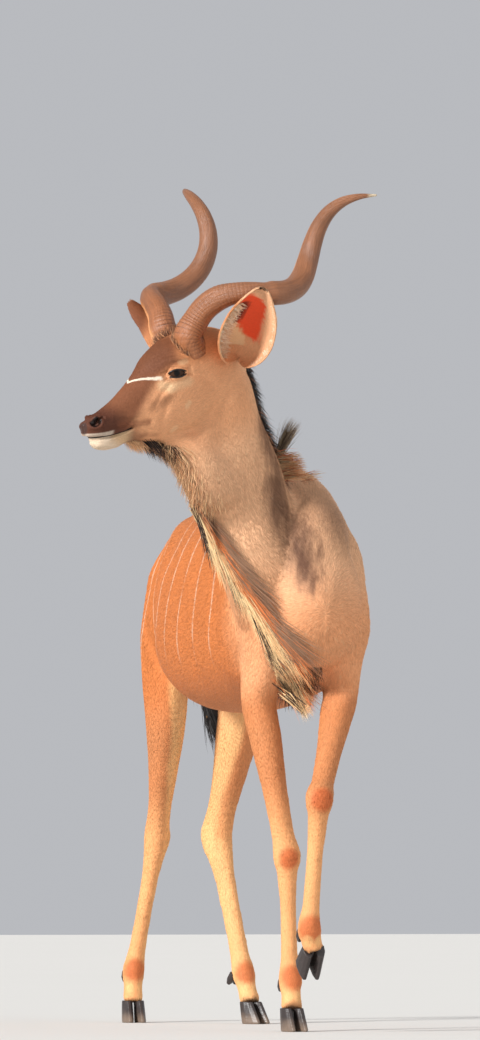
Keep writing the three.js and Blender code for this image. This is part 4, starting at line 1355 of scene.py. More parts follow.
def coat_colours(s, colours):
    """The coat's markings and some painted shade, from the place on the body alone."""
    here = s.place()
    x, y, z = (s.along(here, axis) for axis in np.eye(3))
    face = s.place(POLL)
    a, b, h = (s.along(face, HEAD[:, k]) for k in range(3))
    side = abs(b)
    cloud = s.noise(here, 9.0, 4.0, 0.6) - 0.5
    fine = s.noise(here, 60.0, 3.0, 0.6) - 0.5
    wavy = s.noise(here, 5.0, 2.0, 0.5) - 0.5

    # Trunk: warm tan, paler on top, darker along the belly and greyer on the shoulder
    coat = Layers(s, colours, "flank")
    coat.paint("back", (z + cloud * 0.2).rise(1.16, 1.34))
    coat.paint("belly", (z + cloud * 0.16).rise(0.92, 0.79) * z.rise(0.6, 0.72))
    # Forequarter and neck: lighter and greyer, with cream flecks
    neck = (y + wavy * 0.08).rise(0.12, -0.02) * (z + cloud * 0.1).rise(0.72, 0.86)
    fore = s.blend(colours["shoulder"], colours["neck"], z.rise(0.95, 1.15))
    coat.paint(fore, neck)
    fleck = s.noise(here, 130.0, 2.0, 0.7, (1.0, 1.0, 0.45)).rise(0.56, 0.72)
    coat.paint("cream", fleck * neck * 0.3)
    # Thin pale stripes, seven a side
    ruled = (y + z * 0.10 + wavy * 0.03 - 0.11) / 0.122
    offset = abs(ruled.math("FRACT") - 0.5) * 0.122
    width = s.noise(here, 14.0, 2.0, 0.5) * 0.006
    stripe = (offset - width).rise(0.0026, -0.0015)
    stripe = stripe * y.rise(0.15, 0.19) * y.rise(0.99, 0.96) * abs(x).rise(0.03, 0.06)
    stripe = stripe * (z + cloud * 0.12).rise(0.88, 0.98) * (cloud + fine + 0.5).rise(0.2, 0.6)
    coat.paint("white", stripe * 0.46)
    # Painted shade in the hollow between the neck and the left shoulder, and dark hair with painted shade
    # beside the mane
    streaks = s.noise(here, 55.0, 3.0, 0.6, (1.0, 1.0, 0.2)) - 0.5
    hollow_shade = s.away_from_line(here, (-0.105, -0.17, 1.3), (-0.045, -0.19, 1.13))
    hollow_shade = (hollow_shade + streaks * 0.07 + wavy * 0.03).rise(0.08, 0.01)
    # The hollow's darkest painted shade
    deep = s.away_from_line(here, (-0.085, -0.17, 1.24), (-0.03, -0.2, 1.07))
    deep = (deep + streaks * 0.05 + wavy * 0.02).rise(0.055, 0.0)
    mane_side_hair_and_shade = s.away_from_line(here, (-0.16, -0.18, 1.44), (-0.1, -0.14, 1.3))
    mane_side_hair_and_shade = (mane_side_hair_and_shade + streaks * 0.05 + wavy * 0.02).rise(0.06, 0.01)
    coat.paint("hollow_shade", (hollow_shade * 0.8).most(deep * 0.92).most(mane_side_hair_and_shade * 0.8))
    # Painted shade over the top of the shoulder
    above = s.away(here, (0.03, -0.12, 1.22)) + streaks * 0.06 + wavy * 0.04
    coat.paint("hollow_shade", above.rise(0.15, 0.02) * 0.5)
    # Dark nape and spine
    ridge = abs(x).rise(0.03, 0.012) * z.rise(1.24, 1.3) * y.rise(-0.02, 0.08)
    coat.paint("dark", ridge * 0.6)
    # White between the thighs and on the rump's edge
    groin = abs(x).rise(0.1, 0.05) * y.rise(0.55, 0.7) * z.rise(0.5, 0.62) * z.rise(0.93, 0.86)
    coat.paint("white", groin * 0.8)
    # Legs: tan above, paler below, cream on the hind legs' inner sides, reddish on the joints
    leg = s.blend(colours["leg"], colours["shin"], (z + cloud * 0.1).rise(0.62, 0.44))
    coat.paint(leg, z.rise(0.86, 0.7))
    middle = abs(z - 0.47) * 0.12 + 0.07
    inner = (middle - abs(x) + cloud * 0.02 - 0.004).rise(0.0, 0.02) * y.rise(0.6, 0.7)
    shin = (z + cloud * 0.05).rise(0.5, 0.42) * x.rise(0.0, 0.02) * y.rise(0.6, 0.7)
    inner = inner * z.rise(0.92, 0.84)
    coat.paint("pale", inner.most(shin * 0.6) * 0.8)
    for point, reach, amount, name in leg_marks():
        spot = (s.away(here, point) + cloud * 0.03).rise(reach, reach * 0.45)
        coat.paint(name, spot * amount)
    # Face
    soft = wavy * 0.02 + cloud * 0.014
    on_face = a.rise(-0.06, 0.02) * (h + soft * 2).rise(-0.22, -0.11)
    on_face = on_face * s.away(here, in_head((0.17, 0, -0.01))).rise(0.31, 0.28)
    skull = Layers(s, colours, "cheek")
    skull.paint("forehead", (h + soft).rise(0.02, 0.06))
    front = (a + h * 1.4 + soft).rise(0.235, 0.285)
    skull.paint("bridge", front * 0.9)
    skull.paint("muzzle", (a - h * 0.5 + soft).rise(0.31, 0.37))
    brow = (h + soft).rise(0.042, 0.058) * (a + soft).rise(0.13, 0.17)
    skull.paint("brow", brow * 0.85)
    for start, end, reach, amount, name in FACE_SPOTS:
        for _, k in SIDES:
            ends = (HEAD @ (np.array(spot) * (1, k, 1)) for spot in (start, end))
            away = s.away_from_line(face, *ends) + fine * 0.01 + cloud * 0.006
            skull.paint(name, away.rise(reach, reach * 0.15) * amount)
    # White chevron across the bridge of the nose, from eye to eye
    bend = a + side * 0.45 + side * side * 13.0 - 0.268 + fine * 0.004
    chevron = (abs(bend) + side * 0.015).rise(0.0045, 0.0018) * h.rise(0.027, 0.034)
    skull.paint("white", chevron * side.rise(0.058, 0.05) * 0.92)
    # Pale lips and chin round the line of the mouth
    gape = h - (a - 0.316).most(0.0) * (a - 0.316).most(0.0) * 1.6 + 0.047
    lip = gape.rise(0.013, 0.009) * (a + gape * 0.6).rise(0.366, 0.378)
    chin = gape.rise(0.0, -0.003) * (a + cloud * 0.03).rise(0.308, 0.345)
    skull.paint("cream", chin * 0.75)
    skull.paint("white", lip.most(chin * (a - h).rise(0.41, 0.45)) * 0.55)
    skull.paint("nose", abs(gape).rise(0.0022, 0.0008) * a.rise(0.312, 0.318))
    coat.paint(skull.top, on_face)
    # Bare black nose and nostrils
    nose = s.away(face, HEAD @ np.array((0.43, 0.0, -0.002))).rise(0.021, 0.014)
    coat.paint("pad", nose * 0.9)
    for _, k in SIDES:
        hole = (HEAD @ np.array((at, k * out, up)) for at, out, up in NOSTRIL_ENDS)
        hole = (s.away_from_line(face, *hole) + fine * 0.003).rise(0.0125, 0.0085)
        coat.paint("nose", hole * 0.95)
        nose = nose.most(hole)
    # The ears' insides: cream hair low down, bare red skin above it, in the shade in front
    ear = s.attribute("ear", "Vector")
    bare, pale, dim = (s.along(ear, axis) for axis in np.eye(3))
    coat.paint("cream", (pale + fine * 0.4).rise(0.25, 0.6) * 0.85)
    coat.paint("ear", (bare + cloud * 0.9 + fine * 0.4).rise(0.15, 0.8))
    coat.paint("gloom", (dim + cloud * 0.8).rise(0.1, 0.8) * 0.9)
    return coat.top, here, nose, cloud


def leg_marks():
    """Soft marks on the legs: place, reach, strength and colour."""
    marks = []
    for knee in KNEES.values():
        marks.append((np.array(knee) + (0, -0.03, -0.006), 0.038, 0.8, "knee"))
    for name, fetlock in FETLOCKS.items():
        down = (np.array(coronet(name)) - fetlock) * 0.55
        marks.append((np.array(fetlock) + (0, -0.02, 0.004), 0.04, 0.75, "knee"))
        marks.append((np.array(fetlock) + down + (0.012, -0.02, 0), 0.017, 0.7, "pale"))
        marks.append((np.array(fetlock) + down + (-0.014, -0.02, 0), 0.017, 0.7, "pale"))
        marks.append((np.array(coronet(name)) + (0, 0, -0.006), 0.034, 0.85, "dark"))
    return marks


# Marks on each side of the face: two ends, reach, strength and colour
FACE_SPOTS = (
    ((0.214, 0.053, 0.018), (0.196, 0.06, 0.006), 0.019, 0.6, "cream"),
    ((0.196, 0.06, 0.006), (0.15, 0.069, 0.004), 0.019, 0.5, "cream"),
    ((0.156, 0.068, 0.052), (0.14, 0.068, 0.048), 0.010, 0.4, "cream"),
    ((0.173, 0.062, -0.052), (0.165, 0.064, -0.046), 0.010, 0.5, "cream"),
    ((0.219, 0.04, -0.096), (0.21, 0.043, -0.091), 0.012, 0.4, "cream"),
    ((0.25, 0.046, -0.014), (0.212, 0.055, -0.018), 0.024, 0.35, "bridge"),
    ((0.345, 0.034, -0.03), (0.275, 0.043, -0.05), 0.014, 0.6, "bridge"),
    # Painted shade along the lower edge of the jaw
    ((0.3, 0.034, -0.075), (0.21, 0.045, -0.115), 0.014, 0.45, "bridge"),
    ((0.188, 0.061, 0.029), (0.201, 0.058, 0.028), 0.0062, 0.9, "nose"),
)


def coat_material(name, colours, hair):
    """Fur: the skin takes it with a bump, and the short hair with its own light and dark tips."""
    s = Shader(name)
    shade, here, nose, cloud = coat_colours(s, colours)
    shade = s.shade(shade, cloud * 0.25 + 1.0)
    if hair:
        own = s.attribute("strand")
        tip = s.attribute("tip")
        shade = s.shade(shade, own * 0.32 + 0.8 + tip * 0.12)
        return s.finish(shade, 0.62, Specular_IOR_Level=0.3)
    grain = s.noise(here, 420.0, 2.0, 0.6, (1.0, 1.0, 0.25))
    shade = s.shade(shade, grain * 0.3 + 0.8)
    normal = s.bump(grain * (1 - nose), 0.001)
    return s.finish(shade, 0.72 - nose * 0.4, normal, Specular_IOR_Level=0.35)


def hair_material(name):
    """Long hair takes each strand's own colour, darker at the root."""
    s = Shader(name)
    own = s.attribute("strand", "Color")
    tip = s.attribute("tip")
    return s.finish(s.shade(own, tip * 0.35 + 0.75), 0.5, Specular_IOR_Level=0.4)


def horn_material(settings):
    s = Shader("horn")
    share, ridge, groove = (s.attribute(name) for name in ("share", "ridge", "groove"))
    grain = s.attribute("grain", "Vector")
    cloud = s.noise(s.place(), 16.0, 4.0, 0.6)
    streak = s.noise(grain, 5.0, 5.0, 0.7)
    # Painted highlight along the keel that winds up the horn, broken up by streaks
    worn = (streak - 0.5) * 0.5 + ridge
    shade = s.blend(settings.horn_base, settings.horn_middle, (share + cloud * 0.2).rise(0.1, 0.5))
    shade = s.blend(shade, settings.horn_keel, worn.rise(0.15, 0.8) * 0.75)
    # Painted shade darkens the grooves between the growth rings
    shade = s.blend(shade, settings.horn_groove, (groove + (streak - 0.5) * 0.6).rise(0.35, 0.9) * 0.75)
    shade = s.blend(shade, settings.horn_tip, (share + cloud * 0.02).rise(0.975, 0.995))
    shade = s.shade(shade, cloud * 0.7 + streak * 1.2 + 0.05)
    normal = s.bump(streak + cloud * 0.4, 0.003)
    return s.finish(shade, cloud * 0.3 + 0.25, normal, Specular_IOR_Level=0.5)


def hoof_material(settings):
    s = Shader("hoof")
    here = s.place()
    z = s.along(here, (0, 0, 1))
    cloud = s.noise(here, 30.0, 4.0, 0.6)
    rings = s.noise(here, 90.0, 2.0, 0.5, (0.2, 0.2, 2.4))
    streak = s.noise(here, 220.0, 3.0, 0.6, (1.0, 1.0, 0.12))
    shade = s.blend(settings.hoof_dark, settings.hoof_worn, (cloud * 0.03 - z).rise(-0.022, 0.01))
    shade = s.shade(shade, streak * 0.6 + 0.7)
    return s.finish(shade, cloud * 0.25 + 0.28, s.bump(rings + streak * 0.4, 0.0012))


def eye_material(settings):
    s = Shader("eye")
    here = s.place()
    left = s.away(here, in_head(EYE_AT + 0.024 * unit(EYE_OUT)))
    right = s.away(here, in_head((EYE_AT + 0.024 * unit(EYE_OUT)) * (1, -1, 1)))
    middle = left.least(right)
    iris = s.noise(here, 260.0, 3.0, 0.6)
    shade = s.blend(settings.eye_pupil, settings.eye_iris, (middle + iris * 0.002).rise(0.007, 0.0095))
    shade = s.blend(shade, settings.eye_pupil, middle.rise(0.0145, 0.019))
    return s.finish(shade, 0.3, Specular_IOR_Level=0.12, Coat_Weight=0.12, Coat_Roughness=0.03)


def lid_material():
    s = Shader("lid")
    cloud = s.noise(s.place(), 300.0, 3.0, 0.6)
    shade = s.shade(s.blend(tone(16, 11, 9), tone(34, 23, 18), cloud), 1.0)
    return s.finish(shade, cloud * 0.2 + 0.25, s.bump(cloud, 0.0004))


# Long hair


def camera_ray(px, py):
    """Where the photo's point at px, py is seen from, and which way."""
    (middle_x, middle_y), (foot_x, foot_y) = PHOTO_MIDDLE, ORIGIN_PIXEL
    target = RIGHT * ((middle_x - foot_x) * PIXEL) + np.array((0, 0, (foot_y - middle_y) * PIXEL))
    eye = target - AHEAD * VIEW_DISTANCE
    eye[2] = VIEW_HEIGHT
    way = unit(target - eye)
    up = np.cross(RIGHT, way)
    point = target + RIGHT * ((px - middle_x) * PIXEL) + up * ((middle_y - py) * PIXEL)
    return eye, unit(point - eye)


def strand_paths(roots, normals, ways, lengths, steps, rise, droop, generator, wave=0.0):
    """Paths that leave the skin at a slant, then lean over their way and hang."""
    t = np.linspace(0, 1, steps)
    start = unit(normals * rise[:, None] + ways)
    pieces = []
    place, heading = roots - normals * 0.003, start
    for k in range(steps):
        pieces.append(place)
        heading = unit(heading + droop / steps * (0.3 + t[k]))
        place = place + heading * (lengths / (steps - 1))[:, None]
    paths = np.stack(pieces, axis=1)
    if wave:
        phase = generator.uniform(0, 2 * math.pi, (len(roots), 1))
        across = unit(np.cross(start, normals))
        swing = np.sin(t[None, :] * 5.0 + phase) * wave * t[None, :]
        paths = paths + across[:, None, :] * swing[..., None]
    return paths


def tones(generator, count, palette, spread=0.16):
    """A colour for each strand from a palette, each a little lighter or darker."""
    palette = np.array(palette)
    chosen = palette[generator.integers(0, len(palette), count)]
    return chosen * (1 + spread * generator.standard_normal((count, 1))).clip(0.5, 1.5)


def slanted(generator, way, spread, count):
    """A way for each strand, a little off the given one."""
    return np.asarray(way) + generator.normal(0, spread, (count, 3))


def cleared(surface, paths, clearance):
    """Keeps all but a path's root out of the skin."""
    count, steps, _ = paths.shape
    rest = paths[:, 1:].reshape(-1, 3)
    paths[:, 1:] = surface.push_out(rest, clearance).reshape(count, steps - 1, 3)
    return paths


def nearest_skin(surface, points):
    hits = [surface.bvh.find_nearest(Vector(p)) for p in points]
    return np.array([h[0] for h in hits]), np.array([h[1] for h in hits])


def make_mane(surface, lie, settings):
    generator = np.random.default_rng(11)
    count = settings.mane_strands
    t = generator.uniform(0.4, 0.985, count)
    angle = math.pi / 2 + generator.normal(0, 0.13, count)
    roots, normals = nearest_skin(surface, NECK.points(t, angle))
    down = -NECK.frame(t)[3]
    length = settings.mane_length * generator.uniform(0.6, 1.25, count)
    length *= np.interp(t, (0.4, 0.5, 0.9, 0.985), (0.5, 1.0, 0.9, 0.6))
    ways = unit(down * 0.9 + generator.normal(0, 0.16, (count, 3)))
    droop = slanted(generator, (0.1, 0.1, -0.9), 0.15, count)
    rise = generator.uniform(0.6, 1.2, count)
    paths = strand_paths(roots, normals, ways, length, 8, rise, droop, generator, 0.003)
    palette = [tone(38, 29, 26), tone(54, 42, 36), tone(28, 21, 19), tone(30, 23, 21)]
    colours = tones(generator, count, palette)
    fair = generator.uniform(0, 1, count) < np.interp(t, (0.4, 0.6, 1), (0.35, 0.12, 0.04))
    colours = np.where(fair[:, None], tones(generator, count, [tone(196, 128, 84)]), colours)
    return long_hair("mane", surface, lie, paths, 0.0013, normals, colours, generator)


def make_withers_tuft(surface, lie, settings):
    """A tuft that stands up where the neck meets the back, over locks blown to the left."""
    generator = np.random.default_rng(12)
    count = settings.withers_strands
    upright = np.arange(count) < count * 0.45
    px = np.where(upright, generator.normal(291.0, 1.8, count), generator.uniform(284, 301, count))
    along = px * 1.35 + 69
    py = np.where(upright, generator.normal(458.0, 2.0, count), along + generator.normal(0, 4, count))
    first = laid_on(surface, np.stack((px, py), -1)[:, None, :], np.zeros(count))[:, 0]
    roots, normals = nearest_skin(surface, first)
    length = settings.withers_length * generator.uniform(0.55, 1.1, count)
    length *= np.where(upright, 1.2, 0.72)
    up = np.array((0, 0, 1.0))
    ways = np.where(upright[:, None], up * 1.2 + 0.05 * RIGHT, 0.9 * RIGHT + 0.12 * up - 0.3 * AHEAD)
    ways = unit(slanted(generator, ways, 0.1, count))
    droop = np.where(upright[:, None], 0.75 * RIGHT + 0.2 * up, 0.4 * RIGHT - 0.35 * up)
    droop = slanted(generator, droop, 0.1, count)
    rise = generator.uniform(0.1, 0.4, count)
    paths = strand_paths(roots, normals, ways, length, 8, rise, droop, generator, 0.003)
    grey = tones(generator, count, [tone(150, 126, 100), tone(104, 84, 68), tone(182, 156, 122)])
    fair = [tone(246, 204, 156), tone(236, 164, 108), tone(244, 190, 138), tone(210, 112, 66)]
    fair = tones(generator, count, fair)
    colours = np.where(upright[:, None], grey, fair)
    return long_hair("withers_tuft", surface, lie, paths, 0.0015, normals, colours, generator)


def long_hair(name, surface, lie, paths, width, outs, colours, generator, clearance=0.002, root=0.55):
    widths = taper(len(paths), paths.shape[1], width, generator, root=root)
    if clearance:
        paths = cleared(surface, paths, clearance)
    uv = lie.find(paths[:, 0])[2]
    return blades(name, paths, widths, outs, colours, uv, generator, 0.5, 0.7)


# The fringe's roots run down the throat; its hair sweeps across the neck in the photo's view
FRINGE_ROOTS = (
    (189, 494),
    (197, 517),
    (216, 547),
    (242, 593),
    (260, 618),
    (269, 650),
    (281, 673),
    (286, 689),
)


def make_fringe(surface, lie, settings):
    """Locks that flow down and to the left over the chest, dark, cream, orange and grey in turn."""
    generator = np.random.default_rng(13)
    locks, steps = 130, 9
    count = settings.fringe_strands
    lock = np.arange(count) % locks
    along = np.linspace(0.0, 1.0, locks)[generator.permutation(locks)][lock]
    band = generator.uniform(0, 1, locks)[lock]
    line = np.array(FRINGE_ROOTS, float)
    place = along * (len(line) - 1)
    px = np.stack([np.interp(place, range(len(line)), line[:, k]) for k in range(2)], -1)
    offset = generator.normal(0, (2.6, 3.2), (count, 2)) * (0.5 + along[:, None])
    slope = np.interp(along, (0, 0.3, 0.7, 1), (58, 53, 50, 44)) + (0.5 - band) * 17
    slope = np.radians(slope + generator.normal(0, 2.0, count))
    turn = np.interp(band, (0, 0.5, 1), (0.35, 0.12, -0.12)) + generator.normal(0, 0.06, count)
    length = generator.uniform(0.75, 1.1, locks)[lock] * generator.uniform(0.8, 1.05, count)
    length *= np.interp(along, (0, 0.2, 0.5, 0.75, 0.9, 1), (0.75, 0.98, 0.96, 0.68, 0.46, 0.3))
    length *= settings.fringe_length / PIXEL
    lift = (0.003 + 0.012 * generator.uniform(0, 1, locks)[lock]) * generator.uniform(0.6, 1.4, count)
    seen = np.empty((count, steps, 2))
    walk = px.copy()
    for k in range(steps):
        t = k / (steps - 1)
        fan = 1 - 0.75 * t + 1.6 * t * t * (band > 0.72)
        seen[:, k] = walk + offset * fan[:, None]
        angle = slope + turn * t
        walk = walk + np.stack((np.cos(angle), np.sin(angle)), -1) * (length / (steps - 1))[:, None]
    paths = laid_on(surface, seen, lift)
    cream = np.array(tone(250, 212, 158))
    orange, grey = tone(222, 128, 72), tone(150, 112, 86)
    shades = np.array((tone(58, 38, 28), cream, tone(240, 190, 136), orange, grey))
    stops = np.searchsorted((0.1, 0.3, 0.52, 0.72), band + generator.normal(0, 0.07, count))
    stops = np.where((along > 0.93) & (generator.uniform(0, 1, count) < 0.35), 0, stops)
    colours = shades[stops] * (1 + 0.14 * generator.standard_normal((count, 1))).clip(0.6, 1.4)
    outs = np.tile(-AHEAD, (count, 1))
    return long_hair("throat_fringe", surface, lie, paths, 0.0014, outs, colours, generator, root=0.8)


# How far off the neck's and chest's front lies at the most in the photo's view
FRONT_DEPTH = 16.02


def front_depth(surface, px, py):
    """How far off the neck or chest is behind a place in the photo, or just inside its outline."""
    for shift in range(0, 18, 2):
        start, way = camera_ray(px + shift, py)
        hit, _, _, distance = surface.bvh.ray_cast(Vector(start), Vector(way))
        if hit is not None and distance < FRONT_DEPTH:
            return distance
    return None


def laid_on(surface, seen, lift):
    """Paths drawn in the photo's view, laid on the skin and lifted off it past their roots."""
    count, steps, _ = seen.shape
    paths = np.empty((count, steps, 3))
    rise = np.sin(np.minimum(np.linspace(0, 1.6, steps), 1) * math.pi / 2)
    for i in range(count):
        reach = np.empty(steps)
        rays = [camera_ray(*spot) for spot in seen[i]]
        for k, (start, way) in enumerate(rays):
            far = front_depth(surface, *seen[i, k])
            if far is None and k == 0:
                hit, _, _, _ = surface.bvh.find_nearest(Vector(start + way * (FRONT_DEPTH - 0.12)))
                far = (np.array(hit) - start) @ way
            if k and (far is None or far > reach[k - 1] + 0.05):
                far = reach[k - 1] + 0.004
            reach[k] = far
        soft = np.convolve(np.pad(reach, 1, mode="edge"), (0.25, 0.5, 0.25), "valid")
        reach = np.minimum(soft, reach) - lift[i] * rise
        reach[0] += lift[i] * rise[0] + 0.003
        for k, (start, way) in enumerate(rays):
            paths[i, k] = start + way * reach[k]
    return paths


def make_beard(surface, lie, settings):
    """Dark hair behind the chin, and paler hair down the throat."""
    generator = np.random.default_rng(14)
    count = settings.beard_strands
    under = generator.uniform(0, 1, count) < 0.5
    ahead = generator.uniform(0.2, 0.33, count)
    below = np.interp(ahead, (0.2, 0.3, 0.385), (-0.14, -0.1, -0.08))
    jaw = in_head(np.stack((ahead, generator.normal(0, 0.012, count), below), -1))
    throat = THROAT.points(
        generator.uniform(0.15, 0.9, count), math.pi / 2 + generator.normal(0, 0.4, count)
    )
    roots, normals = nearest_skin(surface, np.where(under[:, None], jaw, throat))
    length = settings.beard_length * generator.uniform(0.5, 1.15, count)
    length *= np.where(under, np.interp(ahead, (0.2, 0.26, 0.33), (0.9, 1.0, 0.5)), 0.55)
    back = np.where(under[:, None], -HEAD[:, 0] * 0.9, HEAD[:, 0] * 0.0)
    ways = unit(back + slanted(generator, (0, 0, -0.8), 0.12, count))
    droop = slanted(generator, (0.1, 0.0, -0.6), 0.15, count)
    rise = np.where(under, 0.5, 0.25) * generator.uniform(0.5, 1.5, count)
    paths = strand_paths(roots, normals, ways, length, 8, rise, droop, generator, 0.002)
    dark = [tone(34, 24, 20), tone(52, 36, 28), tone(84, 54, 38)]
    light = [tone(246, 200, 150), tone(232, 168, 116), tone(216, 156, 116), tone(240, 190, 144)]
    black = under & (ahead > 0.215) & (ahead < 0.3) & (generator.uniform(0, 1, count) < 0.85)
    colours = np.where(black[:, None], tones(generator, count, dark), tones(generator, count, light))
    return long_hair("beard", surface, lie, paths, 0.0014, normals, colours, generator)


def make_chest_hair(surface, lie, settings):
    """The fringe's dark end under the chest."""
    generator = np.random.default_rng(15)
    count = settings.chest_strands
    y = generator.uniform(-0.2, 0.12, count)
    x = generator.normal(0, 0.016, count)
    below = TORSO.points(smoothstep(y, -0.25, 0.2) * 0.22 + 0.14, -math.pi / 2 + x * 5)
    roots, normals = nearest_skin(surface, below)
    length = settings.chest_length * generator.uniform(0.5, 1.2, count)
    ways = unit(slanted(generator, (0.1, 0.3, -0.8), 0.25, count))
    droop = slanted(generator, (0.1, 0.1, -0.8), 0.25, count)
    rise = generator.uniform(0.4, 1.2, count)
    paths = strand_paths(roots, normals, ways, length, 7, rise, droop, generator, 0.003)
    palette = [tone(54, 40, 34), tone(104, 70, 50), tone(36, 27, 24), tone(190, 128, 82)]
    colours = tones(generator, count, palette)
    return long_hair("chest_hair", surface, lie, paths, 0.0015, normals, colours, generator)


def make_tail_hair(surface, lie, settings):
    generator = np.random.default_rng(16)
    count = settings.tail_strands
    t = generator.uniform(0.3, 1.0, count) ** 0.8
    angle = generator.uniform(0, 2 * math.pi, count)
    points = TAIL.points(t, angle)
    roots, normals = nearest_skin(surface, points)
    length = settings.tail_length * generator.uniform(0.45, 1.0, count)
    length *= np.interp(t, (0.3, 0.7, 1), (0.6, 1.0, 0.75))
    ways = TAIL.frame(t)[3] + 0.35 * RIGHT + generator.normal(0, 0.16, (count, 3))
    droop = 0.5 * RIGHT + (0, -0.1, -0.7) + generator.normal(0, 0.14, (count, 3))
    rise = generator.uniform(0.12, 0.45, count)
    paths = strand_paths(roots, normals, unit(ways), length, 9, rise, droop, generator, 0.003)
    dark = [tone(22, 16, 14), tone(34, 25, 21), tone(14, 10, 9)]
    brown = [tone(150, 104, 70), tone(96, 66, 46)]
    colours = np.where(
        (t < 0.52)[:, None], tones(generator, count, brown), tones(generator, count, dark)
    )
    return long_hair("tail_hair", surface, lie, paths, 0.0022, normals, colours, generator)


def make_horn_foot_hair(surface, lie, settings):
    """Short hair that rises round the foot of each horn."""
    generator = np.random.default_rng(18)
    count = settings.horn_foot_strands
    rows = []
    for _, side in SIDES:
        loft = horn_loft(side)
        angle = generator.uniform(0, 2 * math.pi, count)
        foot = np.zeros(count)
        for t in np.linspace(0.2, 0.0, 41):
            points = loft.points(np.full(count, t), angle)
            hits, normals = nearest_skin(surface, points)
            foot = np.where(((points - hits) * normals).sum(1) > 0.001, t, foot)
        middle, _, _, along = loft.frame(foot)
        points = loft.points(foot, angle)
        out = unit(points - middle)
        near = points + out * generator.uniform(0.001, 0.012, (count, 1))
        rows.append((nearest_skin(surface, near)[0], out, along))
    roots, outs, along = (np.concatenate(part) for part in zip(*rows))
    count = len(roots)
    length = settings.horn_foot_length * generator.uniform(0.5, 1.2, count)
    ways = unit(slanted(generator, along, 0.2, count))
    rise = generator.uniform(0.1, 0.4, count)
    paths = strand_paths(roots, outs, ways, length, 6, rise, -0.5 * outs, generator, 0.001)
    palette = [tone(186, 124, 84), tone(146, 96, 66), tone(104, 72, 54), tone(206, 150, 108)]
    colours = tones(generator, count, palette)
    return long_hair("horn_foot_hair", surface, lie, paths, 0.0014, outs, colours, generator, 0.001)


def make_ear_hair(surface, lie, settings):
    """Long white hair along the front edge of both ears, and short hair round the rest."""
    generator = np.random.default_rng(17)
    rows = []
    for name, side in SIDES:
        count = settings.ear_strands
        front = generator.uniform(0, 1, count) < 0.7
        t = np.where(front, generator.uniform(0.1, 0.78, count), generator.uniform(0.06, 0.92, count))
        edge = np.where(front, -side, side)
        v = edge * np.where(front, generator.uniform(0.62, 0.97, count), generator.uniform(0.8, 0.97, count))
        points = ear_points(name, t, v, EAR_THICKNESS)
        across = ear_points(name, t, v - edge * 0.05, 0.006) - points
        along = ear_points(name, t + 0.02, v, EAR_THICKNESS) - points
        out = ear_points(name, t, v, 0.012) - points
        lean = np.where(front, -0.55, 0.2) + generator.normal(0, 0.2, count)
        ways = unit(unit(across) + unit(along) * lean[:, None])
        length = np.where(front, 1.0, 0.35) * np.interp(t, (0.1, 0.3, 0.78), (0.8, 1.0, 0.5))
        rows.append((points, ways, unit(out), length))
    roots, ways, outs, length = (np.concatenate(part) for part in zip(*rows))
    count = len(roots)
    length = length * settings.ear_hair_length * generator.uniform(0.5, 1.1, count)
    ways = unit(ways + generator.normal(0, 0.1, ways.shape))
    rise = generator.uniform(0.1, 0.4, count)
    paths = strand_paths(roots, outs, ways, length, 7, rise, np.zeros(3), generator, 0.002)
    palette = [tone(246, 228, 204), tone(240, 212, 180), tone(228, 190, 152)]
    colours = tones(generator, count, palette, 0.08)
    return long_hair("ear_hair", surface, lie, paths, 0.002, outs, colours, generator, 0.0)


# Horns, eyes and hooves


def horn_groove(t, angle, rings):
    """How deep in a groove between two growth rings a place is; they wear off up the horn."""
    phase = rings * t + 0.3 * np.sin(angle + 2.0 * t) + 0.5 * np.sin(19.0 * t)
    worn = (1 - smoothstep(t, 0.14, 0.6)) * (0.7 + 0.3 * np.sin(31 * t + 2 * np.cos(angle)))
    return (1 - np.abs(np.sin(math.pi * phase))) ** 2 * worn


def horn_keel(t, angle, side):
    return np.maximum(np.cos(angle - side * 2 * t), 0) ** 7 * (1 - t) ** 0.6


def clear_of_ear(grid, name):
    """Rings of a horn, drawn in a little where the horn passes close behind the ear."""
    t, v = np.meshgrid(np.linspace(0.1, 1, 40), np.linspace(-1, 1, 30), indexing="ij")
    sheet = ear_points(name, t, v, 0.0).reshape(-1, 3)
    tree = KDTree(len(sheet))
    for i, p in enumerate(sheet):
        tree.insert(p, i)
    tree.balance()
    middle = grid.mean(axis=1, keepdims=True)
    gap = np.array([[tree.find(p)[2] for p in ring] for ring in grid]).min(axis=1)
    gap = np.convolve(np.pad(gap, 10, mode="edge"), np.ones(21) / 21, "valid")
    scale = 1 - 0.16 * (1 - smoothstep(gap, 0.004, 0.03))
    return middle + (grid - middle) * scale[:, None, None]


def make_horn(name, side, settings):
    """A twisting horn with rings round its lower part and a keel that winds up it."""
    loft = horn_loft(side)
    rows, sides = 640, 40

    def relief(t, angle):
        behind = np.maximum(-np.cos(angle - side * 2 * t), 0) ** 5 * (1 - t)
        flare = 0.08 * (1 - smoothstep(t, 0.05, 0.14))
        keel = 0.16 * horn_keel(t, angle, side)
        return keel + 0.05 * behind + flare - 0.04 * horn_groove(t, angle, settings.horn_rings)

    grid = clear_of_ear(loft.grid(rows, sides, relief=relief), name.split("_")[1])
    horn = lofted(name, grid)
    t = np.append(np.repeat(np.linspace(0, 1, rows + 1), sides), (0, 1))
    angle = np.append(np.tile(np.linspace(0, 2 * math.pi, sides, endpoint=False), rows + 1), (0, 0))
    store(horn.data, "share", t)
    store(horn.data, "ridge", horn_keel(t, angle, side))
    store(horn.data, "groove", horn_groove(t, angle, settings.horn_rings))
    store(horn.data, "grain", np.stack((np.cos(angle), np.sin(angle), t * 3), -1))
    return horn


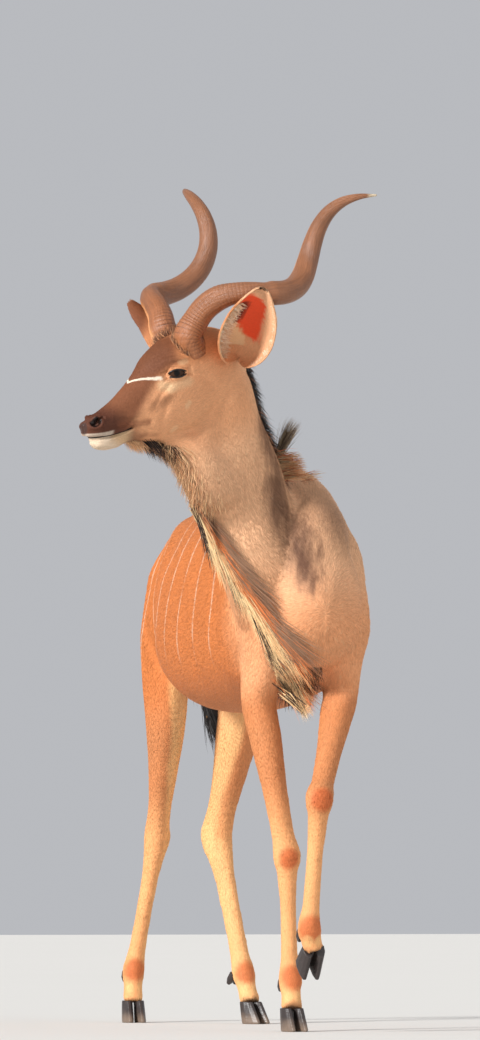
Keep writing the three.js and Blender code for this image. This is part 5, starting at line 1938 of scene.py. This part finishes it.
def make_eye(name, side):
    """The eyeball with a clear bulge over its iris."""
    centre, axes = eye_place(side)
    eye = ball(name, (0, 0, 0), np.eye(3), np.full(3, EYE_RADIUS))
    local = coordinates(eye.data)
    bulge = 1 + 0.035 * smoothstep(local[:, 2], 0.7 * EYE_RADIUS, EYE_RADIUS)
    set_coordinates(eye.data, centre + (local * bulge[:, None]) @ axes)
    return eye


def refine_hoof(name, node):
    """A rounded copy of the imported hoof."""
    source = bpy.data.objects[node]
    only(source)
    piece = source.copy()
    piece.data = source.data.copy()
    piece.name = name
    bpy.context.scene.collection.objects.link(piece)
    apply(piece, "WELD", merge_threshold=0.0002)
    apply(piece, "REMESH", mode="VOXEL", voxel_size=0.0016, adaptivity=0.0)
    apply(piece, "SMOOTH", factor=0.5, iterations=5)
    return piece


def shaded(piece, material, body="root"):
    only(piece)
    bpy.ops.object.shade_smooth()
    piece.data.materials.clear()
    piece.data.materials.append(material)
    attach(piece, body)


# The add-on


def length(name, description, default):
    return FloatProperty(name=name, description=description, default=default, min=0.0, unit="LENGTH")


def number(name, description, default):
    return FloatProperty(name=name, description=description, default=default)


def count(name, description, default):
    return IntProperty(name=name, description=description, default=default, min=1)


def colour(name, description, *screen):
    return FloatVectorProperty(name=name, description=description, default=tone(*screen), subtype="COLOR")


class KuduBodySettings(bpy.types.PropertyGroup):
    coat_depth: length("Coat depth", "How far the skin lies inside the body's outline", 0.006)
    face_depth: length("Face coat depth", "How far the skin of the head lies inside its outline", 0.0025)
    flank: colour("Flank", "Colour of the flanks", 204, 119, 62)
    back: colour("Back", "Colour along the back", 172, 108, 69)
    belly: colour("Belly", "Colour of the belly", 204, 120, 66)
    neck: colour("Neck", "Colour of the neck and shoulders", 232, 178, 136)
    leg: colour("Legs", "Colour of the legs", 208, 134, 84)
    white: colour("White", "Colour of the stripes, chevron, lips and chin", 240, 222, 200)


class KuduHairSettings(bpy.types.PropertyGroup):
    mane_strands: count("Mane strands", "How many hairs the mane has", 2600)
    mane_length: length("Mane length", "Length of the mane's hair", 0.05)
    withers_strands: count("Withers strands", "How many hairs stand on the withers", 900)
    withers_length: length("Withers length", "Length of the hair on the withers", 0.092)
    fringe_strands: count("Fringe strands", "How many hairs the throat fringe has", 4200)
    fringe_length: length("Fringe length", "Length of the throat fringe's hair", 0.24)
    beard_strands: count("Beard strands", "How many hairs hang under the jaw", 2600)
    beard_length: length("Beard length", "Length of the hair under the jaw", 0.06)
    chest_strands: count("Chest strands", "How many long hairs hang under the chest", 600)
    chest_length: length("Chest hair length", "Length of the hair under the chest", 0.035)
    tail_strands: count("Tail strands", "How many hairs the tail's tuft has", 2200)
    tail_length: length("Tail hair length", "Length of the tail's hair", 0.15)
    horn_foot_strands: count("Horn foot strands", "How many short hairs stand round each horn's foot", 800)
    horn_foot_length: length("Horn foot hair length", "Length of the hair round the horns' feet", 0.02)
    ear_strands: count("Ear strands", "How many long pale hairs each ear has", 1100)
    ear_hair_length: length("Ear hair length", "Length of the pale hair in the ears", 0.042)


class KuduHardSettings(bpy.types.PropertyGroup):
    horn_rings: number("Horn rings", "How many growth rings a horn would have over its whole length", 84.0)
    horn_base: colour("Horn base", "Colour of the horns' roots", 156, 96, 58)
    horn_middle: colour("Horn middle", "Colour of the horns' middle", 136, 87, 56)
    # Painted highlight along the keel
    horn_keel: colour("Horn keel", "Colour of the keel that winds round each horn", 244, 168, 106)
    # Painted shade in the grooves between the growth rings
    horn_groove: colour("Horn grooves", "Colour of the grooves between the growth rings", 54, 38, 30)
    horn_tip: colour("Horn tip", "Colour of the horns' tips", 214, 194, 164)
    hoof_dark: colour("Hoof", "Colour of the hooves", 52, 44, 42)
    hoof_worn: colour("Hoof edge", "Colour of the hooves' worn lower edge", 116, 98, 84)
    eye_pupil: colour("Eye", "Colour of the eyes' dark part", 14, 10, 9)
    eye_iris: colour("Iris", "Colour of the iris", 62, 38, 24)


class KuduStageSettings(bpy.types.PropertyGroup):
    floor_size: length("Floor size", "Length of each side of the floor", 60.0)
    floor_colour: colour("Floor", "Colour of the floor", 222, 219, 213)
    key_light: number("Main light", "Strength of the main light", 4.2)
    room_light: number("Room light", "Brightness of the light all round", 0.52)


def palette_of(body):
    """The coat's colours, from the settings and a few fixed dark and pale ones."""
    return {
        "flank": tuple(body.flank),
        "back": tuple(body.back),
        "belly": tuple(body.belly),
        "neck": tuple(body.neck),
        "leg": tuple(body.leg),
        "white": tuple(body.white),
        "cream": tone(232, 194, 150),
        "shoulder": tone(230, 160, 112),
        # Painted shade for the hollow by the neck, the shoulder's top and beside the mane
        "hollow_shade": tone(84, 50, 34),
        "dark": tone(56, 42, 36),
        "knee": tone(198, 92, 42),
        "shin": tone(236, 168, 110),
        "pale": tone(244, 188, 126),
        "forehead": tone(212, 142, 94),
        "cheek": tone(228, 164, 118),
        "bridge": tone(112, 60, 33),
        "brow": tone(118, 70, 44),
        "muzzle": tone(88, 46, 27),
        "nose": tone(26, 19, 17),
        "pad": tone(62, 40, 33),
        "ear": tone(234, 80, 40),
        "gloom": tone(84, 28, 16),
    }


class Kudu:
    """What the operators share while the kudu is being made."""

    skin = None
    surface = None
    lie = None


class KUDU_OT_skin(bpy.types.Operator):
    """Makes the skin of the whole body, head and ears"""

    bl_idname = "kudu.skin"
    bl_label = "Skin"

    def execute(self, context):
        body = context.scene.kudu_body
        skin = make_skin(body)
        shaded(skin, coat_material("fur", palette_of(body), False))
        flesh = ["torso", "neck", "head", "tail", "ear_left", "ear_right"]
        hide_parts(*flesh, *("leg_" + name for name in LEGS))
        Kudu.skin = skin
        Kudu.lie = Lie()
        Kudu.surface = Surface(skin)
        Kudu.surface.part_of_triangle = Kudu.lie.find(Kudu.surface.centres)[0]
        store(skin.data, "ear", Kudu.lie.inside_ear(Kudu.surface.points, Kudu.surface.normals))
        return {"FINISHED"}


class KUDU_OT_coat(bpy.types.Operator):
    """Lays short fur over the skin"""

    bl_idname = "kudu.coat"
    bl_label = "Short coat"

    def execute(self, context):
        material = coat_material("short fur", palette_of(context.scene.kudu_body), True)
        for piece in short_coat(Kudu.surface, Kudu.lie, 21):
            shaded(piece, material)
        return {"FINISHED"}


class KUDU_OT_long_hair(bpy.types.Operator):
    """Makes the mane, fringe, beard, tail tuft and ear hair"""

    bl_idname = "kudu.long_hair"
    bl_label = "Long hair"

    def execute(self, context):
        hair = context.scene.kudu_hair
        material = hair_material("long hair")
        for maker in (
            make_mane,
            make_withers_tuft,
            make_fringe,
            make_beard,
            make_chest_hair,
            make_tail_hair,
            make_horn_foot_hair,
            make_ear_hair,
        ):
            shaded(maker(Kudu.surface, Kudu.lie, hair), material)
        return {"FINISHED"}


class KUDU_OT_horns(bpy.types.Operator):
    """Makes both horns"""

    bl_idname = "kudu.horns"
    bl_label = "Horns"

    def execute(self, context):
        hard = context.scene.kudu_hard
        material = horn_material(hard)
        for name, side in SIDES:
            horn = make_horn("horn_" + name + "_fine", side, hard)
            shaded(horn, material)
            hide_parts("horn_" + name)
        return {"FINISHED"}


class KUDU_OT_eyes(bpy.types.Operator):
    """Makes both eyes and their lids' dark rims"""

    bl_idname = "kudu.eyes"
    bl_label = "Eyes"

    def execute(self, context):
        material, rim = eye_material(context.scene.kudu_hard), lid_material()
        for name, side in SIDES:
            eye = make_eye("eyeball_" + name, side)
            shaded(eye, material)
            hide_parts("eye_" + name)
            edge = lid_rims(side)
            edge.name = "lid_rim_" + name
            shaded(edge, rim)
        return {"FINISHED"}


class KUDU_OT_hooves(bpy.types.Operator):
    """Makes rounded hooves and dewclaws"""

    bl_idname = "kudu.hooves"
    bl_label = "Hooves"

    def execute(self, context):
        material = hoof_material(context.scene.kudu_hard)
        for leg in LEGS:
            for kind in ("hoof", "dewclaw"):
                for part in ("outer", "inner"):
                    node = "_".join((kind, leg, part))
                    piece = refine_hoof(node + "_round", node)
                    shaded(piece, material)
                    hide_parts(node)
        return {"FINISHED"}


class KUDU_OT_stage(bpy.types.Operator):
    """Lays the floor and sets the lights and the camera"""

    bl_idname = "kudu.stage"
    bl_label = "Stage"

    def execute(self, context):
        stage = context.scene.kudu_stage
        bpy.ops.object.select_all(action="DESELECT")
        bpy.ops.mesh.primitive_plane_add(size=stage.floor_size)
        floor = context.active_object
        floor.name = "floor"
        s = Shader("floor")
        cloud = s.noise(s.place(), 0.8, 3.0, 0.5)
        colour = s.shade(s.blend(stage.floor_colour, stage.floor_colour, 0.0), cloud * 0.02 + 0.99)
        floor.data.materials.append(s.finish(colour, 0.85))
        set_world(stage.room_light)
        add_sun("key", 0.7 * RIGHT + 0.64 * AHEAD - (0, 0, 0.42), stage.key_light, 12.0)
        add_sun("fill", -0.8 * RIGHT + 0.5 * AHEAD - (0, 0, 0.4), stage.key_light * 0.15, 60.0)
        context.scene.view_settings.view_transform = "Standard"
        add_camera()
        return {"FINISHED"}


def set_world(strength):
    world = bpy.data.worlds.new("studio")
    world.use_nodes = True
    background = world.node_tree.nodes["Background"]
    background.inputs["Color"].default_value = (0.93, 0.95, 1.0, 1.0)
    background.inputs["Strength"].default_value = strength
    bpy.context.scene.world = world


def add_sun(name, way, strength, softness):
    """A light from far away along a direction, with soft-edged shadows."""
    data = bpy.data.lights.new(name, "SUN")
    data.energy, data.angle = strength, math.radians(softness)
    light = bpy.data.objects.new(name, data)
    bpy.context.scene.collection.objects.link(light)
    light.rotation_euler = Vector(way).to_track_quat("-Z", "Y").to_euler()


def add_camera():
    """The photo's camera, low and far in front, with the photo's own frame."""
    start, way = camera_ray(*PHOTO_MIDDLE)
    reach = VIEW_DISTANCE / (way @ AHEAD)
    data = bpy.data.cameras.new("camera")
    data.sensor_fit = "VERTICAL"
    data.sensor_height = 36.0
    data.lens = data.sensor_height * reach / (PHOTO_SIZE[1] * PIXEL)
    data.clip_end = 200.0
    camera = bpy.data.objects.new("camera", data)
    bpy.context.scene.collection.objects.link(camera)
    camera.location = start + ORIGIN
    camera.rotation_euler = Vector(way).to_track_quat("-Z", "Y").to_euler()
    bpy.context.scene.camera = camera


class KUDU_PT_panel(bpy.types.Panel):
    """Lists the kudu's pieces"""

    bl_label = "Greater kudu"
    bl_idname = "KUDU_PT_panel"
    bl_space_type = "VIEW_3D"
    bl_region_type = "UI"
    bl_category = "Kudu"

    def draw(self, context):
        for step in STEPS:
            self.layout.operator(step.bl_idname)


GROUPS = {
    "kudu_body": KuduBodySettings,
    "kudu_hair": KuduHairSettings,
    "kudu_hard": KuduHardSettings,
    "kudu_stage": KuduStageSettings,
}
STEPS = (
    KUDU_OT_skin,
    KUDU_OT_coat,
    KUDU_OT_long_hair,
    KUDU_OT_horns,
    KUDU_OT_eyes,
    KUDU_OT_hooves,
    KUDU_OT_stage,
)


def register():
    for kind in (*GROUPS.values(), *STEPS, KUDU_PT_panel):
        bpy.utils.register_class(kind)
    for name, kind in GROUPS.items():
        setattr(bpy.types.Scene, name, PointerProperty(type=kind))


def unregister():
    for name in GROUPS:
        delattr(bpy.types.Scene, name)
    for kind in (KUDU_PT_panel, *reversed(STEPS), *GROUPS.values()):
        bpy.utils.unregister_class(kind)


def main():
    register()
    bpy.ops.object.select_all(action="DESELECT")
    bpy.ops.kudu.skin()
    bpy.ops.kudu.coat()
    bpy.ops.kudu.long_hair()
    bpy.ops.kudu.horns()
    bpy.ops.kudu.eyes()
    bpy.ops.kudu.hooves()
    bpy.ops.kudu.stage()


if __name__ == "__main__":
    main()
